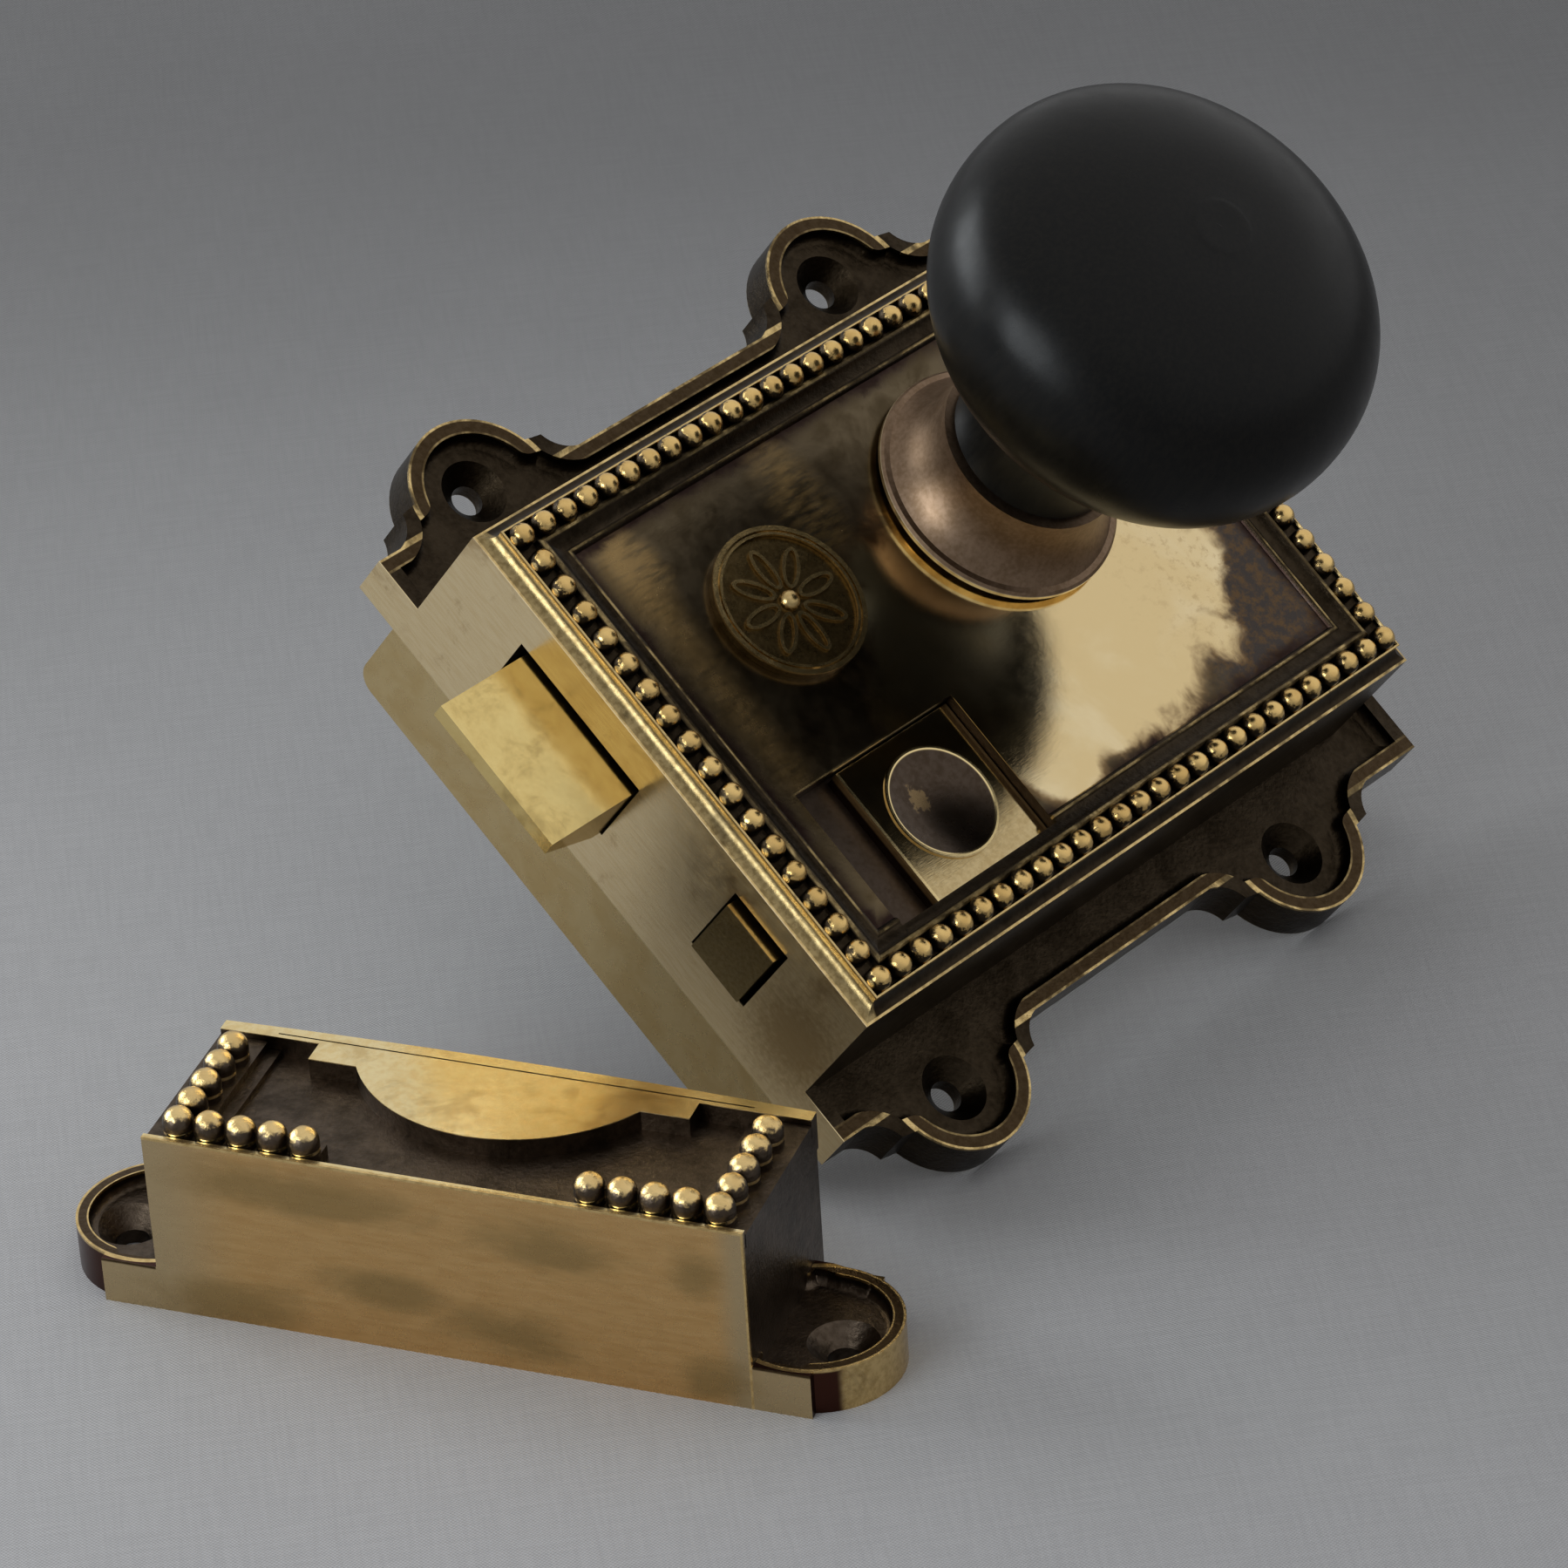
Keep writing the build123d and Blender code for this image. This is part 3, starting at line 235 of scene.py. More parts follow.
# Noises: stretch along the axes, scale per millimetre, detail, roughness and distortion
NOISES = {
    "smear": (None, 0.45, 5.0, 0.62, 0.0),
    "pits": (None, 1.5, 6.0, 0.62, 0.0),
    "plate_ragged": (None, 0.15, 4.0, 0.55, 0.4),
    "plate_fleck": (None, 0.6, 6.0, 0.7, 0.0),
    "plate_streaks": ((0.25, 1.0, 1.3), 1.0, 4.0, 0.6, 0.0),
    "plate_cloud": (None, 0.055, 4.0, 0.55, 0.6),
    "case_wear": (None, 0.16, 5.0, 0.62, 0.6),
    "case_fine": (None, 1.1, 5.0, 0.62, 0.0),
    "case_grain": ((0.3, 4.0, 6.0), 2.2, 3.0, 0.55, 0.0),
    "forend_lines": ((1.0, 1.4, 0.15), 1.6, 4.0, 0.6, 0.0),
    "forend_stain": (None, 0.10, 5.0, 0.62, 0.5),
    "keep_wear": (None, 0.15, 5.0, 0.62, 0.5),
    "keep_fine": (None, 0.9, 5.0, 0.62, 0.0),
    "keep_streaks": ((0.16, 1.0, 1.0), 1.1, 5.0, 0.62, 0.4),
    "keep_cloud": ((0.5, 1.0, 1.2), 0.14, 4.0, 0.6, 0.6),
    "keep_grain": ((0.25, 6.0, 3.0), 2.0, 3.0, 0.55, 0.0),
    "bolt_wear": (None, 0.20, 5.0, 0.6, 0.4),
    "bolt_fine": (None, 1.4, 5.0, 0.62, 0.0),
    "bolt_grain": ((0.3, 3.0, 5.0), 1.8, 3.0, 0.55, 0.0),
    "slide_fine": (None, 0.9, 6.0, 0.68, 0.0),
    "slide_grain": ((0.3, 1.0, 5.0), 2.4, 3.0, 0.55, 0.0),
    "badge_wear": (None, 0.5, 5.0, 0.6, 0.0),
    "badge_fine": (None, 2.2, 5.0, 0.62, 0.0),
    "collar_wear": (None, 0.4, 4.0, 0.6, 0.0),
    "collar_fine": (None, 1.6, 5.0, 0.62, 0.0),
    "collar_spun": ((0.2, 8.0, 0.2), 2.5, 3.0, 0.55, 0.0),
    "ebony_grain": ((1.0, 0.12, 1.0), 1.6, 6.0, 0.6, 0.3),
    "ebony_pores": ((3.0, 0.5, 3.0), 2.4, 3.0, 0.6, 0.0),
    "ebony_scuffs": (None, 0.12, 5.0, 0.65, 0.0),
    "steel_wear": (None, 0.5, 5.0, 0.6, 0.0),
    "steel_fine": ((2.0, 0.3, 2.0), 2.0, 4.0, 0.55, 0.0),
    "cloth_drift": (None, 0.10, 3.0, 0.55, 0.0),
    "cloth_cloud": (None, 0.02, 2.0, 0.55, 0.0),
    "slubs_along": ((0.10, 1.6, 1.0), 1.0, 2.0, 0.55, 0.0),
    "slubs_across": ((1.6, 0.10, 1.0), 1.0, 2.0, 0.55, 0.0),
}

# Depths of the bumps
PIT_DEPTH = 0.16
GRAIN_DEPTH = 0.008
EBONY_DEPTH = 0.02
STEEL_DEPTH = 0.05
THREAD_DEPTH = 0.05

# Cloth: turn of its threads in degrees, their spacing and drift, and the painted shade that darkens it from
# front to back and across
CLOTH_TURN = -41.0
THREAD = 0.57
THREAD_DRIFT = 14.0
WEAVE_SHADE = 0.045
SLUB_SHADE = 0.035
CLOUD_SHADE = 0.015
SLUB_RISE = 0.6
CLOTH_PAINTED_SHADE_BACK = (-20.0, 330.0, 1.0, 0.40)
CLOTH_PAINTED_SHADE_ACROSS = (-150.0, 200.0, 1.04, 0.86)

# Floor size in metres, and lamps: direction, distance, width, height, brightness and colour
FLOOR_SIZE = 4.0
LAMPS = {
    "left_window": ((-0.918, 0.130, 0.374), 1.35, 0.80, 0.60, 5.6, (0.90, 0.96, 1.0)),
    "back_window": ((-0.330, 0.870, 0.366), 1.35, 0.80, 0.60, 5.6, (0.92, 0.97, 1.0)),
}
LOOK_AT = Vector((0, 0, 0.04))

# Studio dome: its two tones, the direction of the brighter one, and the cosines between which it rises
WORLD_LOW = (0.28, 0.29, 0.31)
WORLD_HIGH = (0.68, 0.68, 0.68)
WORLD_TOWARDS = Vector((0.617, -0.10, 0.78)).normalized()
WORLD_RISE = (-0.4, 0.9)


def node_object(node):
    """Object of a CAD node."""
    return next(o for o in bpy.data.objects if o.type == "MESH" and o.name == node)


def mesh_points(node):
    """Corner points of a CAD node's mesh, in the row frame."""
    thing = node_object(node)
    return [thing.matrix_world @ v.co for v in thing.data.vertices]


def lean_angle():
    """Lean of the latch, read from the flat back of its cap."""
    faces = node_object("cap_plate").data.polygons
    normal = max(faces, key=lambda face: face.area).normal
    return math.atan2(abs(normal.z), abs(normal.y))


def lock_origin(lean):
    """Origin of the mounted frame: the forend, the wall, and halfway up the case."""
    rotation = Matrix.Rotation(-lean, 3, "X")
    turned = [rotation.inverted() @ p for p in mesh_points("case")]
    x = min(p.x for p in turned)
    y = max(p.y for p in turned) - LIP_BACK / METRE
    z = (min(p.z for p in turned) + max(p.z for p in turned)) / 2
    return rotation @ Vector((x, y, z))


def keep_origin():
    """Corner of the keep's body at its near left foot."""
    rotation = Matrix.Rotation(math.radians(KEEP_TURN), 3, "Z")
    turned = [rotation.inverted() @ p for p in mesh_points("keep")]
    middle = (min(p.x for p in turned) + max(p.x for p in turned)) / 2
    return rotation @ Vector((middle - KEEP_LENGTH / 2 / METRE, min(p.y for p in turned), 0))


LEAN = lean_angle()
LOCK_ORIGIN = lock_origin(LEAN)


class Graph:
    """A material's nodes, with short calls for the ones used here."""

    def __init__(self, name):
        self.material = bpy.data.materials.new(name)
        self.material.use_nodes = True
        self.nodes = self.material.node_tree.nodes
        self.links = self.material.node_tree.links
        self.shader = self.nodes["Principled BSDF"]

    def put(self, socket, value):
        """Link a socket, or set a plain value."""
        if isinstance(value, bpy.types.NodeSocket):
            self.links.new(value, socket)
        elif isinstance(value, tuple) and len(value) == 3 and socket.type == "RGBA":
            socket.default_value = (*value, 1)
        else:
            socket.default_value = value

    def math(self, operation, a, b=0.0):
        """One step of arithmetic."""
        node = self.nodes.new("ShaderNodeMath")
        node.operation = operation
        self.put(node.inputs[0], a)
        self.put(node.inputs[1], b)
        return node.outputs[0]

    def map(self, value, low, high, to_low=0.0, to_high=1.0):
        """Smooth step of a value from low to high."""
        node = self.nodes.new("ShaderNodeMapRange")
        node.interpolation_type = "SMOOTHSTEP"
        for index, number in enumerate((value, low, high, to_low, to_high)):
            self.put(node.inputs[index], number)
        return node.outputs[0]

    def swing(self, noise, low, high, amount):
        """A noise turned into a swing to either side of zero."""
        return self.map(noise, low, high, -amount, amount)

    def mix(self, factor, a, b):
        """Blend of two colours."""
        node = self.nodes.new("ShaderNodeMix")
        node.data_type = "RGBA"
        self.put(node.inputs[0], factor)
        self.put(node.inputs[6], a)
        self.put(node.inputs[7], b)
        return node.outputs[2]

    def blend(self, factor, a, b):
        """Blend of two numbers."""
        node = self.nodes.new("ShaderNodeMix")
        self.put(node.inputs[0], factor)
        self.put(node.inputs[2], a)
        self.put(node.inputs[3], b)
        return node.outputs[0]

    def place(self, origin, rotation):
        """Coordinates in a frame of the object's own, in millimetres."""
        coords = self.nodes.new("ShaderNodeTexCoord")
        mapping = self.nodes.new("ShaderNodeMapping")
        mapping.vector_type = "TEXTURE"
        mapping.inputs["Location"].default_value = origin
        mapping.inputs["Rotation"].default_value = rotation
        mapping.inputs["Scale"].default_value = (1 / METRE, 1 / METRE, 1 / METRE)
        self.links.new(coords.outputs["Object"], mapping.inputs["Vector"])
        return mapping.outputs[0]

    def split(self, vector):
        """The three parts of a vector."""
        node = self.nodes.new("ShaderNodeSeparateXYZ")
        self.links.new(vector, node.inputs[0])
        return node.outputs[0:3]

    def stretch(self, vector, scale):
        """Coordinates scaled along each axis."""
        node = self.nodes.new("ShaderNodeMapping")
        node.inputs["Scale"].default_value = scale
        self.links.new(vector, node.inputs["Vector"])
        return node.outputs[0]

    def noise(self, vector, name):
        """One of the named noises."""
        stretch, scale, detail, rough, distortion = NOISES[name]
        if stretch is not None:
            vector = self.stretch(vector, stretch)
        node = self.nodes.new("ShaderNodeTexNoise")
        self.put(node.inputs["Vector"], vector)
        self.put(node.inputs["Scale"], scale)
        self.put(node.inputs["Detail"], detail)
        self.put(node.inputs["Roughness"], rough)
        self.put(node.inputs["Distortion"], distortion)
        return node.outputs[0]

    def bump(self, height, distance, strength, after=None):
        """Normal from a height, with its depth in millimetres."""
        node = self.nodes.new("ShaderNodeBump")
        node.inputs["Strength"].default_value = strength
        node.inputs["Distance"].default_value = distance / METRE
        self.links.new(height, node.inputs["Height"])
        if after is not None:
            self.links.new(after, node.inputs["Normal"])
        return node.outputs[0]

    def finish(self, **inputs):
        """Set the shader's sockets and return the material."""
        for key, value in inputs.items():
            self.put(self.shader.inputs[key.replace("_", " ")], value)
        return self.material


# In the calls below, two numbers after a noise are where its mask starts and where it is full. A number
# added to a named size is a distance past that edge, and a single number in both() is a strength


def lock_frame(graph):
    """Mounted coordinates of the latch in millimetres."""
    return graph.place(LOCK_ORIGIN, (-LEAN, 0, 0))


def lock_axes(graph, coords):
    """Mounted x, distance out from the wall, and z."""
    x, y, z = graph.split(coords)
    return x, graph.math("MULTIPLY", y, -1.0), z


def keep_frame(graph):
    """The keep's own coordinates in millimetres."""
    return graph.place(keep_origin(), (0, 0, math.radians(KEEP_TURN)))


def between(graph, value, low, high, soft=0.08):
    """1 where a value lies between two limits."""
    above = graph.map(value, low - soft, low + soft)
    below = graph.map(value, high - soft, high + soft, 1.0, 0.0)
    return graph.math("MULTIPLY", above, below)


def both(graph, *values):
    """Product of several masks."""
    result = values[0]
    for value in values[1:]:
        result = graph.math("MULTIPLY", result, value)
    return result


def largest(graph, *values):
    """Largest of several masks."""
    result = values[0]
    for value in values[1:]:
        result = graph.math("MAXIMUM", result, value)
    return result


def outside(graph, mask):
    """What a mask leaves free."""
    return graph.math("SUBTRACT", 1.0, mask)


def off(graph, a, b):
    """Distance of a value from another."""
    return graph.math("ABSOLUTE", graph.math("SUBTRACT", a, b))


def reach(graph, u, v, middle, radii=(1.0, 1.0)):
    """Distance from a middle, in units of the two radii."""
    du = graph.math("DIVIDE", graph.math("SUBTRACT", u, middle[0]), radii[0])
    dv = graph.math("DIVIDE", graph.math("SUBTRACT", v, middle[1]), radii[1])
    square = graph.math("ADD", graph.math("MULTIPLY", du, du), graph.math("MULTIPLY", dv, dv))
    return graph.math("SQRT", square)


def spot(graph, u, v, place, ragged):
    """Round patch with a ragged edge. Its place is a middle, two radii and a softness."""
    middle, radii, soft = place
    distance = graph.math("ADD", reach(graph, u, v, middle, radii), ragged)
    return graph.map(distance, 1.0 - soft, 1.0 + soft, 1.0, 0.0)


def finish_of(graph, name, noise=None):
    """Colour and roughness of a finish. With a noise, the colour drifts to its deeper tone."""
    colour, rough, share = FINISHES[name]
    if noise is None:
        return colour, rough
    deep = tuple(c * share * k for c, k in zip(colour, DEEPER))
    return graph.mix(graph.map(noise, *DEEPER_FROM), colour, deep), rough


def paint(graph, below, mask, colour, rough):
    """Lay a colour and its roughness over what is below, where the mask is 1."""
    return graph.mix(mask, below[0], colour), graph.blend(mask, below[1], rough)


def layer(graph, below, mask, name, noise=None):
    """Lay a named finish over what is below, where the mask is 1."""
    return paint(graph, below, mask, *finish_of(graph, name, noise))


def metal(graph, coords, surface, grain, clean):
    """Finish a metal from its colour and roughness, with pits, grain and finger marks."""
    colour, rough = surface
    smear = graph.map(graph.noise(coords, "smear"), 0.3, 0.72, -0.02, 0.035)
    pits = graph.math("SUBTRACT", graph.noise(coords, "pits"), 0.5)
    height = graph.math("MULTIPLY", pits, graph.map(clean, 0.0, 1.0, 1.0, 0.04))
    normal = graph.bump(height, PIT_DEPTH, 0.7)
    normal = graph.bump(grain, GRAIN_DEPTH, 0.5, normal)
    return graph.finish(Base_Color=colour, Metallic=1.0, Roughness=graph.math("ADD", rough, smear),
                        Normal=normal)


def clean_brass(graph, x, coords, fleck):
    """Colour of the clean brass round the knob, with brown freckles towards the far end."""
    cloud = graph.noise(coords, "plate_cloud")
    polished = graph.mix(graph.map(cloud, 0.35, 0.62), *POLISHED)
    freckles = both(graph, graph.map(fleck, 0.50, 0.66), graph.map(x, *FRECKLES_ACROSS), 0.55)
    return graph.mix(freckles, polished, FRECKLE)


def plate_spots(graph, x, z, ragged, *names):
    """Several named places of the front, as one mask."""
    return largest(graph, *[spot(graph, x, z, PLACES[name], ragged) for name in names])


def field_surface(graph, x, z, inset, coords, wear):
    """Front plate: clean brass round the knob, olive to the left under a painted golden reflection, brown
    along the margins.
    """
    ragged = graph.swing(graph.noise(coords, "plate_ragged"), 0.2, 0.8, 0.15)
    fleck = graph.noise(coords, "plate_fleck")
    streaks = graph.noise(coords, "plate_streaks")
    far_colour = graph.mix(graph.map(fleck, 0.42, 0.62), *FAR_GREY)
    surface = paint(graph, finish_of(graph, "olive", wear), graph.map(x, *FAR_END), far_colour, FAR_ROUGH)
    swaying = graph.math("ADD", inset, graph.math("MULTIPLY", wear, MARGIN_SWAY))
    margin = graph.map(swaying, *MARGIN, 1.0, 0.0)
    surface = layer(graph, surface, margin, "plum", fleck)
    # Painted reflection: a streaked golden band on the left of the front plate, clear of the margin
    painted_sheen = both(graph, between(graph, x, *PAINTED_SHEEN_ACROSS), graph.map(z, *PAINTED_SHEEN_UP, 0.2, 1.0),
                 outside(graph, margin), graph.map(streaks, 0.2, 0.6, 0.4, 1.0))
    surface = layer(graph, surface, painted_sheen, "painted_sheen")
    rubbed = plate_spots(graph, x, z, ragged, "rubbed_left", "rubbed_middle")
    surface = layer(graph, surface, both(graph, rubbed, graph.map(streaks, 0.30, 0.66)), "rubbed")
    fringe = plate_spots(graph, x, z, ragged, "fringe_disc", "fringe_corner")
    surface = layer(graph, surface, both(graph, fringe, 0.75), "fringe")
    clean = plate_spots(graph, x, z, ragged, "clean_disc", "clean_corner")
    return paint(graph, surface, clean, clean_brass(graph, x, coords, fleck), POLISHED_ROUGH), clean


def border_surface(graph, below, x, inset, front, wear, fine):
    """Moulded border: golden towards the forend, dark elsewhere, with bright lines and bead tops."""
    forward = both(graph, graph.map(x, *BAND_END), graph.map(wear, 0.30, 0.44, 0.55, 1.0))
    outer = both(graph, between(graph, inset, *OUTER_BAND), forward)
    surface = layer(graph, below, outer, "outer_band", fine)
    lines = [both(graph, between(graph, inset, *band), graph.map(noise, *shown))
             for noise, (band, shown) in zip((wear, fine, wear, wear), BORDER_LINES)]
    surface = layer(graph, surface, largest(graph, *lines), "border_line", fine)
    rub = graph.math("ADD", front, graph.swing(fine, 0.3, 0.7, 0.35))
    tops = both(graph, graph.map(rub, *BEAD_TOPS), between(graph, inset, *BEAD_BAND))
    return layer(graph, surface, tops, "bead", wear), tops


def flange_surface(graph, below, x, rise, front, wear, fine):
    """Flange: dark tray and rim, with a bright line at the rim's outer and inner edge."""
    straight = graph.math("SUBTRACT", FLANGE_WIDTH + CASE_HALF, rise)
    lobes = [graph.math("SUBTRACT", LOBE_RADIUS, reach(graph, x, rise, (across, CASE_HALF + LOBE_RISE)))
             for across in LUG_ACROSS]
    inset = largest(graph, straight, *lobes)
    top = graph.map(front, FLANGE_FRONT - 0.6, FLANGE_FRONT - 0.2)
    rim = both(graph, top, between(graph, inset, 0.0, FLANGE_RIM))
    surface = layer(graph, below, rim, "flange_rim", fine)
    outer = both(graph, top, between(graph, inset, -0.5, 0.34, 0.06))
    inner = both(graph, top, between(graph, inset, FLANGE_RIM - 0.28, FLANGE_RIM + 0.1, 0.06), 0.4)
    lines = both(graph, largest(graph, outer, inner), graph.map(wear, 0.38, 0.60, 0.15, 1.0))
    return layer(graph, surface, lines, "flange_line", fine)


def window_surface(graph, below, x, z, inset, front, fine):
    """Walls of the front's window, and a painted highlight along the cut of its upper edge."""
    right, low, high = SLIDE[1:]
    across = between(graph, x, WINDOW_LEFT - 0.15, right + 0.35, 0.05)
    up = between(graph, z, low - 0.15, high + 0.15, 0.05)
    inside = both(graph, across, up, graph.map(inset, BORDER - 1.5, BORDER - 1.0))
    walls = both(graph, inside, graph.map(front, FIELD_FRONT, FIELD_FRONT - 0.2),
                 graph.map(front, *WINDOW_FLOOR))
    surface = layer(graph, below, walls, "window_wall", fine)
    # Painted highlight: a bright line along the window's upper cut edge
    cut_highlight = both(graph, between(graph, z, high - 0.15, high + 0.22, 0.05),
               between(graph, x, WINDOW_LEFT, WINDOW_HIGHLIGHT_RIGHT, 1.0),
               graph.map(front, FIELD_FRONT - 0.7, FIELD_FRONT - 0.5), graph.map(fine, 0.3, 0.5, 0.5, 1.0))
    return layer(graph, surface, cut_highlight, "window_cut_highlight")


def forend_colour(graph, coords, front, z, fine):
    """Polished forend, with faint stains, painted shade by the small bolt, and brush lines along it."""
    lines = graph.noise(coords, "forend_lines")
    stain = graph.noise(coords, "forend_stain")
    colour = graph.mix(graph.map(lines, 0.35, 0.70), *FOREND_GOLD)
    colour = graph.mix(graph.map(stain, 0.56, 0.74, 0.0, 0.75), colour, FOREND_STAIN)
    # Painted shade by the small bolt
    painted_shade = spot(graph, front, z, PLACES["forend_painted_shade"], graph.swing(fine, 0.2, 0.8, 0.3))
    return graph.mix(both(graph, painted_shade, 0.8), colour, FOREND_PAINTED_SHADE)


def case_material():
    """Cast brass case: dark flange and sides, moulded border, front plate, window, forend and lip."""
    graph = Graph("case_brass")
    coords = lock_frame(graph)
    x, front, z = lock_axes(graph, coords)
    rise = graph.math("ABSOLUTE", z)
    wear = graph.noise(coords, "case_wear")
    fine = graph.noise(coords, "case_fine")
    across = graph.math("MINIMUM", x, graph.math("SUBTRACT", CASE_LENGTH, x))
    inset = graph.math("MINIMUM", across, graph.math("SUBTRACT", CASE_HALF, rise))
    surface = finish_of(graph, "umber", graph.blend(0.4, wear, fine))
    flange = flange_surface(graph, surface, x, rise, front, wear, fine)
    surface = paint(graph, surface, graph.map(rise, CASE_HALF - 0.1, CASE_HALF + 0.2), *flange)
    face = graph.map(front, EDGE_FRONT - 0.5, EDGE_FRONT - 0.25)
    border, tops = border_surface(graph, surface, x, inset, front, wear, fine)
    surface = paint(graph, surface, face, *border)
    field, clean = field_surface(graph, x, z, inset, coords, wear)
    on_field = both(graph, graph.map(inset, BORDER - 0.3, BORDER),
                    graph.map(front, FIELD_FRONT - 0.25, FIELD_FRONT))
    surface = paint(graph, surface, on_field, *field)
    surface = window_surface(graph, surface, x, z, inset, front, fine)
    forend = graph.map(x, *FOREND_FACE)
    surface = paint(graph, surface, forend, forend_colour(graph, coords, front, z, fine), FOREND_ROUGH)
    lip = both(graph, graph.map(front, 0.2, -0.2), graph.map(x, 0.1, 0.5, 1.0, 0.35))
    surface = layer(graph, surface, lip, "lip", wear)
    smooth_field = both(graph, on_field, graph.map(clean, 0.0, 1.0, 0.88, 1.0))
    smooth_band = both(graph, face, graph.map(inset, *BAND_END), 0.75)
    smooth = largest(graph, smooth_field, both(graph, tops, face, 0.6), forend, lip, smooth_band)
    return metal(graph, coords, surface, graph.noise(coords, "case_grain"), smooth)


def keep_near_colour(graph, coords, x, z):
    """Keep's near face: streaked gold, duller at its ends, with dark stains."""
    colour = graph.mix(graph.map(graph.noise(coords, "keep_streaks"), 0.20, 0.80), *KEEP_NEAR_GOLD)
    ends = graph.math("MAXIMUM", graph.map(x, *KEEP_LEFT_END), graph.map(x, *KEEP_RIGHT_END))
    colour = graph.mix(both(graph, ends, 0.8), colour, KEEP_ENDS)
    ragged = graph.swing(graph.noise(coords, "keep_cloud"), 0.2, 0.8, 0.5)
    stains = [spot(graph, x, z, (stain[:2], stain[2:], KEEP_STAIN_SOFT), ragged) for stain in KEEP_STAINS]
    return graph.mix(both(graph, largest(graph, *stains), 0.75), colour, KEEP_STAIN)


def keep_top_colour(graph, wear, fine):
    """Keep's polished plateau, with a little tarnish."""
    colour = graph.mix(graph.map(fine, 0.36, 0.64), *KEEP_TOP_GOLD)
    return graph.mix(graph.map(wear, 0.50, 0.66, 0.0, 0.4), colour, KEEP_TOP_STAIN)


def keep_lug_surface(graph, below, x, y, z, fine):
    """Keep's lugs: dark rim and red-brown wall. Their masks come back too: past the body, wall and lines."""
    past = graph.math("SUBTRACT", off(graph, x, KEEP_LENGTH / 2), KEEP_LENGTH / 2)
    inset = graph.math("SUBTRACT", KEEP_LOBE_RADIUS, reach(graph, past, y, KEEP_LOBE))
    on_lug = graph.map(past, 0.0, 0.2)
    rim = both(graph, on_lug, graph.map(z, KEEP_LUG - 0.5, KEEP_LUG - 0.2))
    surface = layer(graph, below, rim, "keep_rim", fine)
    outer = between(graph, inset, -0.4, 0.36, 0.06)
    inner = between(graph, inset, KEEP_LUG_RIM - 0.2, KEEP_LUG_RIM + 0.1, 0.06)
    lines = both(graph, rim, graph.math("MAXIMUM", outer, inner))
    wall = both(graph, on_lug, graph.map(inset, 0.12, 0.04), graph.map(y, 0.1, 0.2))
    return layer(graph, surface, wall, "keep_wall"), past, wall, lines


def keep_bright_edges(graph, x, y, z, past, wall, lines):
    """Keep's bright places: the lugs' lines, the right lug's wall, the top and the right upright edge."""
    right_wall = both(graph, wall, graph.map(x, KEEP_LENGTH, KEEP_LENGTH + 0.5),
                      graph.map(y, *KEEP_BRIGHT_TO), graph.map(y, *KEEP_BRIGHT_FROM), 0.9)
    edge = both(graph, graph.map(y, 0.5, 0.3), graph.map(z, KEEP_TOP - 0.5, KEEP_TOP - 0.25))
    upright = both(graph, graph.map(y, 0.6, 0.4), graph.map(x, KEEP_LENGTH - 0.4, KEEP_LENGTH - 0.2),
                   graph.map(past, 0.1, 0.0))
    return largest(graph, lines, right_wall, edge, upright)


def keep_material():
    """Box keep: dark field, polished plateau, bead tops and near face, and rimmed lugs."""
    graph = Graph("keep_brass")
    coords = keep_frame(graph)
    x, y, z = graph.split(coords)
    wear = graph.noise(coords, "keep_wear")
    fine = graph.noise(coords, "keep_fine")
    surface = finish_of(graph, "keep", graph.blend(0.4, wear, fine))
    near = graph.map(y, *KEEP_NEAR)
    surface = paint(graph, surface, near, keep_near_colour(graph, coords, x, z), KEEP_NEAR_ROUGH)
    tops = both(graph, between(graph, z, KEEP_TOP - 0.12, KEEP_TOP + 0.3), graph.map(y, 0.2, 0.3))
    surface = paint(graph, surface, tops, keep_top_colour(graph, wear, fine), KEEP_TOP_ROUGH)
    rub = graph.math("ADD", z, graph.swing(fine, 0.3, 0.7, 0.4))
    surface = layer(graph, surface, graph.map(rub, *KEEP_BEAD_TOPS), "keep_bead", wear)
    surface, past, wall, lines = keep_lug_surface(graph, surface, x, y, z, fine)
    bright = keep_bright_edges(graph, x, y, z, past, wall, lines)
    bright = both(graph, bright, graph.map(wear, 0.25, 0.45, 0.5, 1.0))
    surface = layer(graph, surface, bright, "keep_line", fine)
    return metal(graph, coords, surface, graph.noise(coords, "keep_grain"), largest(graph, tops, near, wall))


def bolt_material(name, finish, tarnish):
    """Handled brass, bright with a little tarnish in patches."""
    graph = Graph(name)
    coords = lock_frame(graph)
    wear = graph.noise(coords, "bolt_wear")
    fine = graph.noise(coords, "bolt_fine")
    stain = graph.map(wear, 0.50, 0.72, 0.0, tarnish)
    surface = finish_of(graph, finish, graph.blend(0.75, fine, wear))
    surface = layer(graph, surface, stain, "umber")
    return metal(graph, coords, surface, graph.noise(coords, "bolt_grain"), outside(graph, stain))


def snib_bolt_material():
    """Small bolt: olive brass with bright edges, and a dark carriage behind the window."""
    graph = Graph("snib_brass")
    coords = lock_frame(graph)
    x, front = lock_axes(graph, coords)[0:2]
    wear = graph.noise(coords, "bolt_wear")
    fine = graph.noise(coords, "bolt_fine")
    side = graph.map(front, SNIB_FRONT - 0.25, SNIB_FRONT - 0.1)
    surface = layer(graph, finish_of(graph, "snib", fine), side, "snib_side", fine)
    inside = both(graph, graph.map(x, *CARRIAGE_FROM), graph.map(front, SNIB_FRONT, SNIB_FRONT + 0.4))
    surface = layer(graph, surface, inside, "carriage", graph.blend(0.5, wear, fine))
    return metal(graph, coords, surface, graph.noise(coords, "bolt_grain"), 0.8)


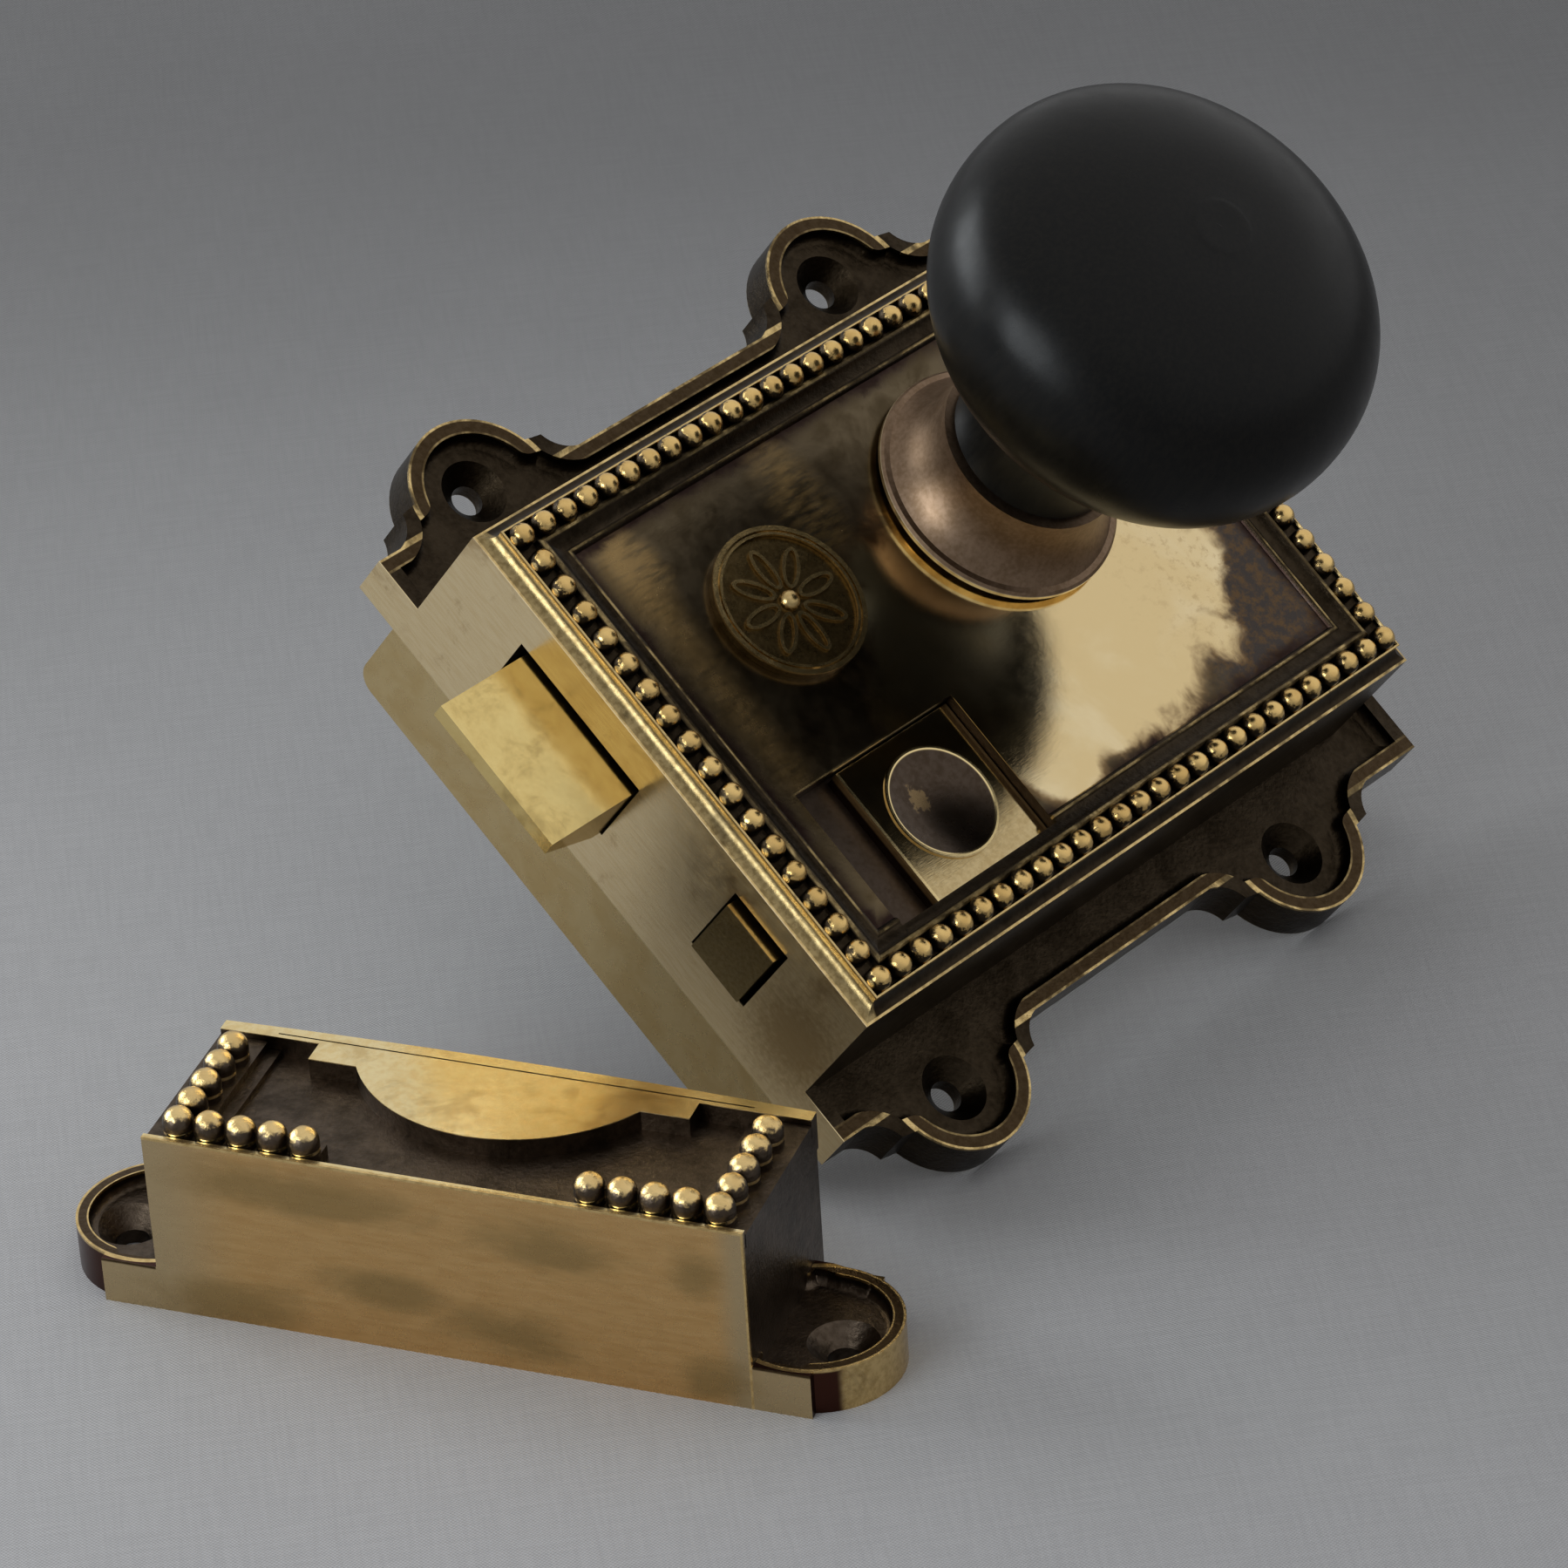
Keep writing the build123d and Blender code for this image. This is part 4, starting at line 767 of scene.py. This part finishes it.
def dish_surface(graph, below, x, z, middle, front, fine):
    """Dish of the slide, darkened by a painted reflection of the knob, with a painted golden glint."""
    away = reach(graph, x, z, middle)
    painted_dish_reflection = both(graph, graph.map(away, DISH_RADIUS - 0.1, DISH_RADIUS - 0.35),
                graph.map(front, SLIDE_FRONT - 2.4, SLIDE_FRONT - 2.2))
    # Painted dark reflection of the knob over the dish
    surface = layer(graph, below, painted_dish_reflection, "painted_dish_reflection", fine)
    # Painted golden glint in the dish
    rub = ((middle[0] + DISH_GLINT[0], middle[1] + DISH_GLINT[1]), DISH_GLINT_RADII, DISH_GLINT_SOFT)
    rubbed = spot(graph, x, z, rub, graph.swing(fine, 0.3, 0.7, 0.7))
    return layer(graph, surface, both(graph, painted_dish_reflection, rubbed, 0.45), "dish_painted_glint"), away


def slide_material():
    """Polished thumb slide: bright chamfers, and a dish with a bright rim, a painted dark reflection of the
    knob and a painted glint.
    """
    graph = Graph("slide_brass")
    coords = lock_frame(graph)
    x, front, z = lock_axes(graph, coords)
    fine = graph.noise(coords, "slide_fine")
    left, right, low, high = SLIDE
    middle = ((left + right) / 2, (low + high) / 2)
    side = graph.map(front, SLIDE_FRONT - 0.9, SLIDE_FRONT - 1.4)
    surface = layer(graph, finish_of(graph, "slide", fine), side, "slide_side", fine)
    surface, away = dish_surface(graph, surface, x, z, middle, front, fine)
    rim = between(graph, away, DISH_RADIUS - 0.2, DISH_RADIUS + 0.3, 0.06)
    across = graph.math("SUBTRACT", (right - left) / 2, off(graph, x, middle[0]))
    edges = both(graph, graph.map(across, 0.50, 0.38), graph.map(front, SLIDE_FRONT - 0.5, SLIDE_FRONT - 0.3))
    surface = layer(graph, surface, graph.math("MAXIMUM", rim, edges), "slide_edge")
    return metal(graph, coords, surface, graph.noise(coords, "slide_grain"), 1.0)


def badge_material():
    """Golden brown badge, with its rim and motif rubbed bright."""
    graph = Graph("badge_brass")
    coords = lock_frame(graph)
    front = lock_axes(graph, coords)[1]
    wear = graph.noise(coords, "badge_wear")
    fine = graph.noise(coords, "badge_fine")
    surface = finish_of(graph, "badge", graph.blend(0.5, wear, fine))
    rub = graph.math("ADD", front, graph.swing(wear, 0.3, 0.7, 0.12))
    motif = graph.map(rub, *[FIELD_FRONT + rise for rise in MOTIF_RISE])
    surface = layer(graph, surface, motif, "badge_rubbed", fine)
    return metal(graph, coords, surface, fine, 0.6)


def collar_material():
    """Spun collar: brown satin cove over a bright foot ring."""
    graph = Graph("collar_bronze")
    coords = lock_frame(graph)
    front = lock_axes(graph, coords)[1]
    wear = graph.noise(coords, "collar_wear")
    fine = graph.noise(coords, "collar_fine")
    ring = graph.map(front, *[FIELD_FRONT + rise for rise in COLLAR_RING_RISE])
    surface = finish_of(graph, "collar", graph.blend(0.5, wear, fine))
    surface = layer(graph, surface, ring, "collar_ring", wear)
    return metal(graph, coords, surface, graph.noise(coords, "collar_spun"), 1.0)


def ebony_material():
    """Ebonised wood: almost black, waxed, with fine pores along the grain."""
    graph = Graph("ebony")
    coords = lock_frame(graph)
    grain = graph.noise(coords, "ebony_grain")
    pores = graph.noise(coords, "ebony_pores")
    scuffs = graph.noise(coords, "ebony_scuffs")
    colour = graph.mix(graph.map(grain, 0.35, 0.7), *EBONY)
    waxed = graph.map(scuffs, 0.3, 0.7, *EBONY_ROUGH)
    rough = graph.math("ADD", waxed, graph.map(pores, 0.5, 0.75, 0.0, 0.06))
    normal = graph.bump(pores, EBONY_DEPTH, 0.4, graph.bump(grain, EBONY_DEPTH, 0.3))
    return graph.finish(Base_Color=colour, Metallic=0.0, Roughness=rough, Normal=normal,
                        Specular_IOR_Level=EBONY_SHEEN)


def steel_material():
    """Dull steel with a little rust."""
    graph = Graph("dull_steel")
    coords = lock_frame(graph)
    wear = graph.noise(coords, "steel_wear")
    colour = graph.mix(graph.map(wear, 0.4, 0.65), *STEEL)
    normal = graph.bump(graph.noise(coords, "steel_fine"), STEEL_DEPTH, 0.6)
    return graph.finish(Base_Color=colour, Metallic=1.0, Roughness=graph.map(wear, 0.3, 0.7, *STEEL_ROUGH),
                        Normal=normal)


def thread(graph, along, drift):
    """One set of the cloth's threads."""
    turns = graph.math("MULTIPLY", along, math.tau / THREAD)
    return graph.math("SINE", graph.math("ADD", turns, graph.math("MULTIPLY", drift, THREAD_DRIFT)))


def linen_material():
    """Fine grey linen: two sets of crossing threads with slubs, under painted shade that darkens it towards
    the back and across.
    """
    graph = Graph("linen")
    coords = graph.place((0, 0, 0), (0, 0, math.radians(CLOTH_TURN)))
    x, y = graph.split(coords)[0:2]
    drift = graph.noise(coords, "cloth_drift")
    weave = graph.math("MULTIPLY", thread(graph, x, drift), thread(graph, y, drift))
    slubs = graph.math("ADD", graph.noise(coords, "slubs_along"), graph.noise(coords, "slubs_across"))
    shade = graph.math("ADD", graph.math("MULTIPLY", weave, WEAVE_SHADE),
                       graph.swing(slubs, 0.75, 1.25, SLUB_SHADE))
    shade = graph.math("ADD", shade, graph.swing(graph.noise(coords, "cloth_cloud"), 0.3, 0.7, CLOUD_SHADE))
    # Painted shade: darker towards the back and across
    level = both(graph, graph.math("ADD", shade, 1.0), graph.map(y, *CLOTH_PAINTED_SHADE_BACK), graph.map(x, *CLOTH_PAINTED_SHADE_ACROSS))
    base = graph.nodes.new("ShaderNodeCombineColor")
    for socket, share in zip(base.inputs, CLOTH):
        graph.put(socket, graph.math("MULTIPLY", level, share))
    height = graph.math("ADD", weave, graph.math("MULTIPLY", slubs, SLUB_RISE))
    return graph.finish(Base_Color=base.outputs[0], Roughness=CLOTH_ROUGH,
                        Normal=graph.bump(height, THREAD_DEPTH, 0.6))


def dress(nodes, material):
    """Give CAD nodes a material."""
    for name in nodes:
        data = node_object(name).data
        data.materials.clear()
        data.materials.append(material)


def dress_all():
    """Give every CAD node its material."""
    dress(["case", "cap_plate"], case_material())
    dress(["keep"], keep_material())
    dress(["badge", "badge_pins"], badge_material())
    dress(["latch_bolt"], bolt_material("latch_brass", "latch", 0.25))
    dress(["snib_bolt"], snib_bolt_material())
    dress(["snib_slide"], slide_material())
    dress(["slide_studs", "snib_rivet"], bolt_material("stud_brass", "stud", 0.5))
    dress(["spring_post", "tail_post", "stop_pin", "follower"], bolt_material("inner_brass", "inner", 0.5))
    dress(["knob_collar"], collar_material())
    dress(["knob"], ebony_material())
    dress(["spindle", "collar_screw", "cap_screws", "tail_clip", "latch_spring", "snib_spring"],
          steel_material())


def add_spring():
    """The latch's spring as a piece of its own, carried by the case, with the CAD node hidden."""
    node = node_object("latch_spring")
    coil = bpy.data.objects.new("latch_spring_coil", node.data.copy())
    bpy.context.collection.objects.link(coil)
    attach(coil, "case")
    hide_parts("latch_spring")
    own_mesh(coil)


def add_floor():
    """Table top with its cloth."""
    bpy.ops.mesh.primitive_plane_add(size=FLOOR_SIZE, location=(0, 0, 0))
    floor = bpy.context.object
    floor.name = "table"
    floor.data.materials.append(linen_material())


def add_light(name, direction, distance, width, height, brightness, colour):
    """Soft rectangular lamp that faces the object."""
    data = bpy.data.lights.new(name, "AREA")
    data.shape = "RECTANGLE"
    data.size = width
    data.size_y = height
    data.energy = brightness * math.pi * width * height
    data.color = colour
    lamp = bpy.data.objects.new(name, data)
    way = Vector(direction).normalized()
    lamp.location = way * distance + LOOK_AT
    lamp.rotation_euler = (-way).to_track_quat("-Z", "Y").to_euler()
    bpy.context.collection.objects.link(lamp)


def add_world():
    """Studio dome that is brighter overhead and to the right."""
    world = bpy.data.worlds.new("studio")
    bpy.context.scene.world = world
    world.use_nodes = True
    nodes = world.node_tree.nodes
    links = world.node_tree.links
    coords = nodes.new("ShaderNodeTexCoord")
    dot = nodes.new("ShaderNodeVectorMath")
    dot.operation = "DOT_PRODUCT"
    dot.inputs[1].default_value = WORLD_TOWARDS
    ramp = nodes.new("ShaderNodeMapRange")
    ramp.interpolation_type = "SMOOTHSTEP"
    ramp.inputs["From Min"].default_value = WORLD_RISE[0]
    ramp.inputs["From Max"].default_value = WORLD_RISE[1]
    mix = nodes.new("ShaderNodeMix")
    mix.data_type = "RGBA"
    mix.inputs[6].default_value = (*WORLD_LOW, 1)
    mix.inputs[7].default_value = (*WORLD_HIGH, 1)
    links.new(coords.outputs["Generated"], dot.inputs[0])
    links.new(dot.outputs["Value"], ramp.inputs["Value"])
    links.new(ramp.outputs[0], mix.inputs[0])
    links.new(mix.outputs[2], nodes["Background"].inputs["Color"])
    nodes["Background"].inputs["Strength"].default_value = 1.0


def add_camera():
    """Camera at the photograph's place, angle and lens."""
    data = bpy.data.cameras.new("camera")
    data.lens = CAMERA_LENS
    data.sensor_width = CAMERA_SENSOR
    data.clip_end = CAMERA_FAR
    camera = bpy.data.objects.new("camera", data)
    look = CAMERA_DIRECTION.to_track_quat("-Z", "Y").to_matrix()
    turn = look @ Matrix.Rotation(math.radians(CAMERA_ROLL), 3, "Z")
    camera.matrix_world = Matrix.Translation(LOCK_ORIGIN + CAMERA_FROM_LOCK) @ turn.to_4x4()
    bpy.context.collection.objects.link(camera)
    bpy.context.scene.camera = camera


dress_all()
add_spring()
add_floor()
add_world()
for lamp_name, lamp in LAMPS.items():
    add_light(lamp_name, *lamp)
add_camera()
bpy.context.scene.view_settings.view_transform = "Standard"
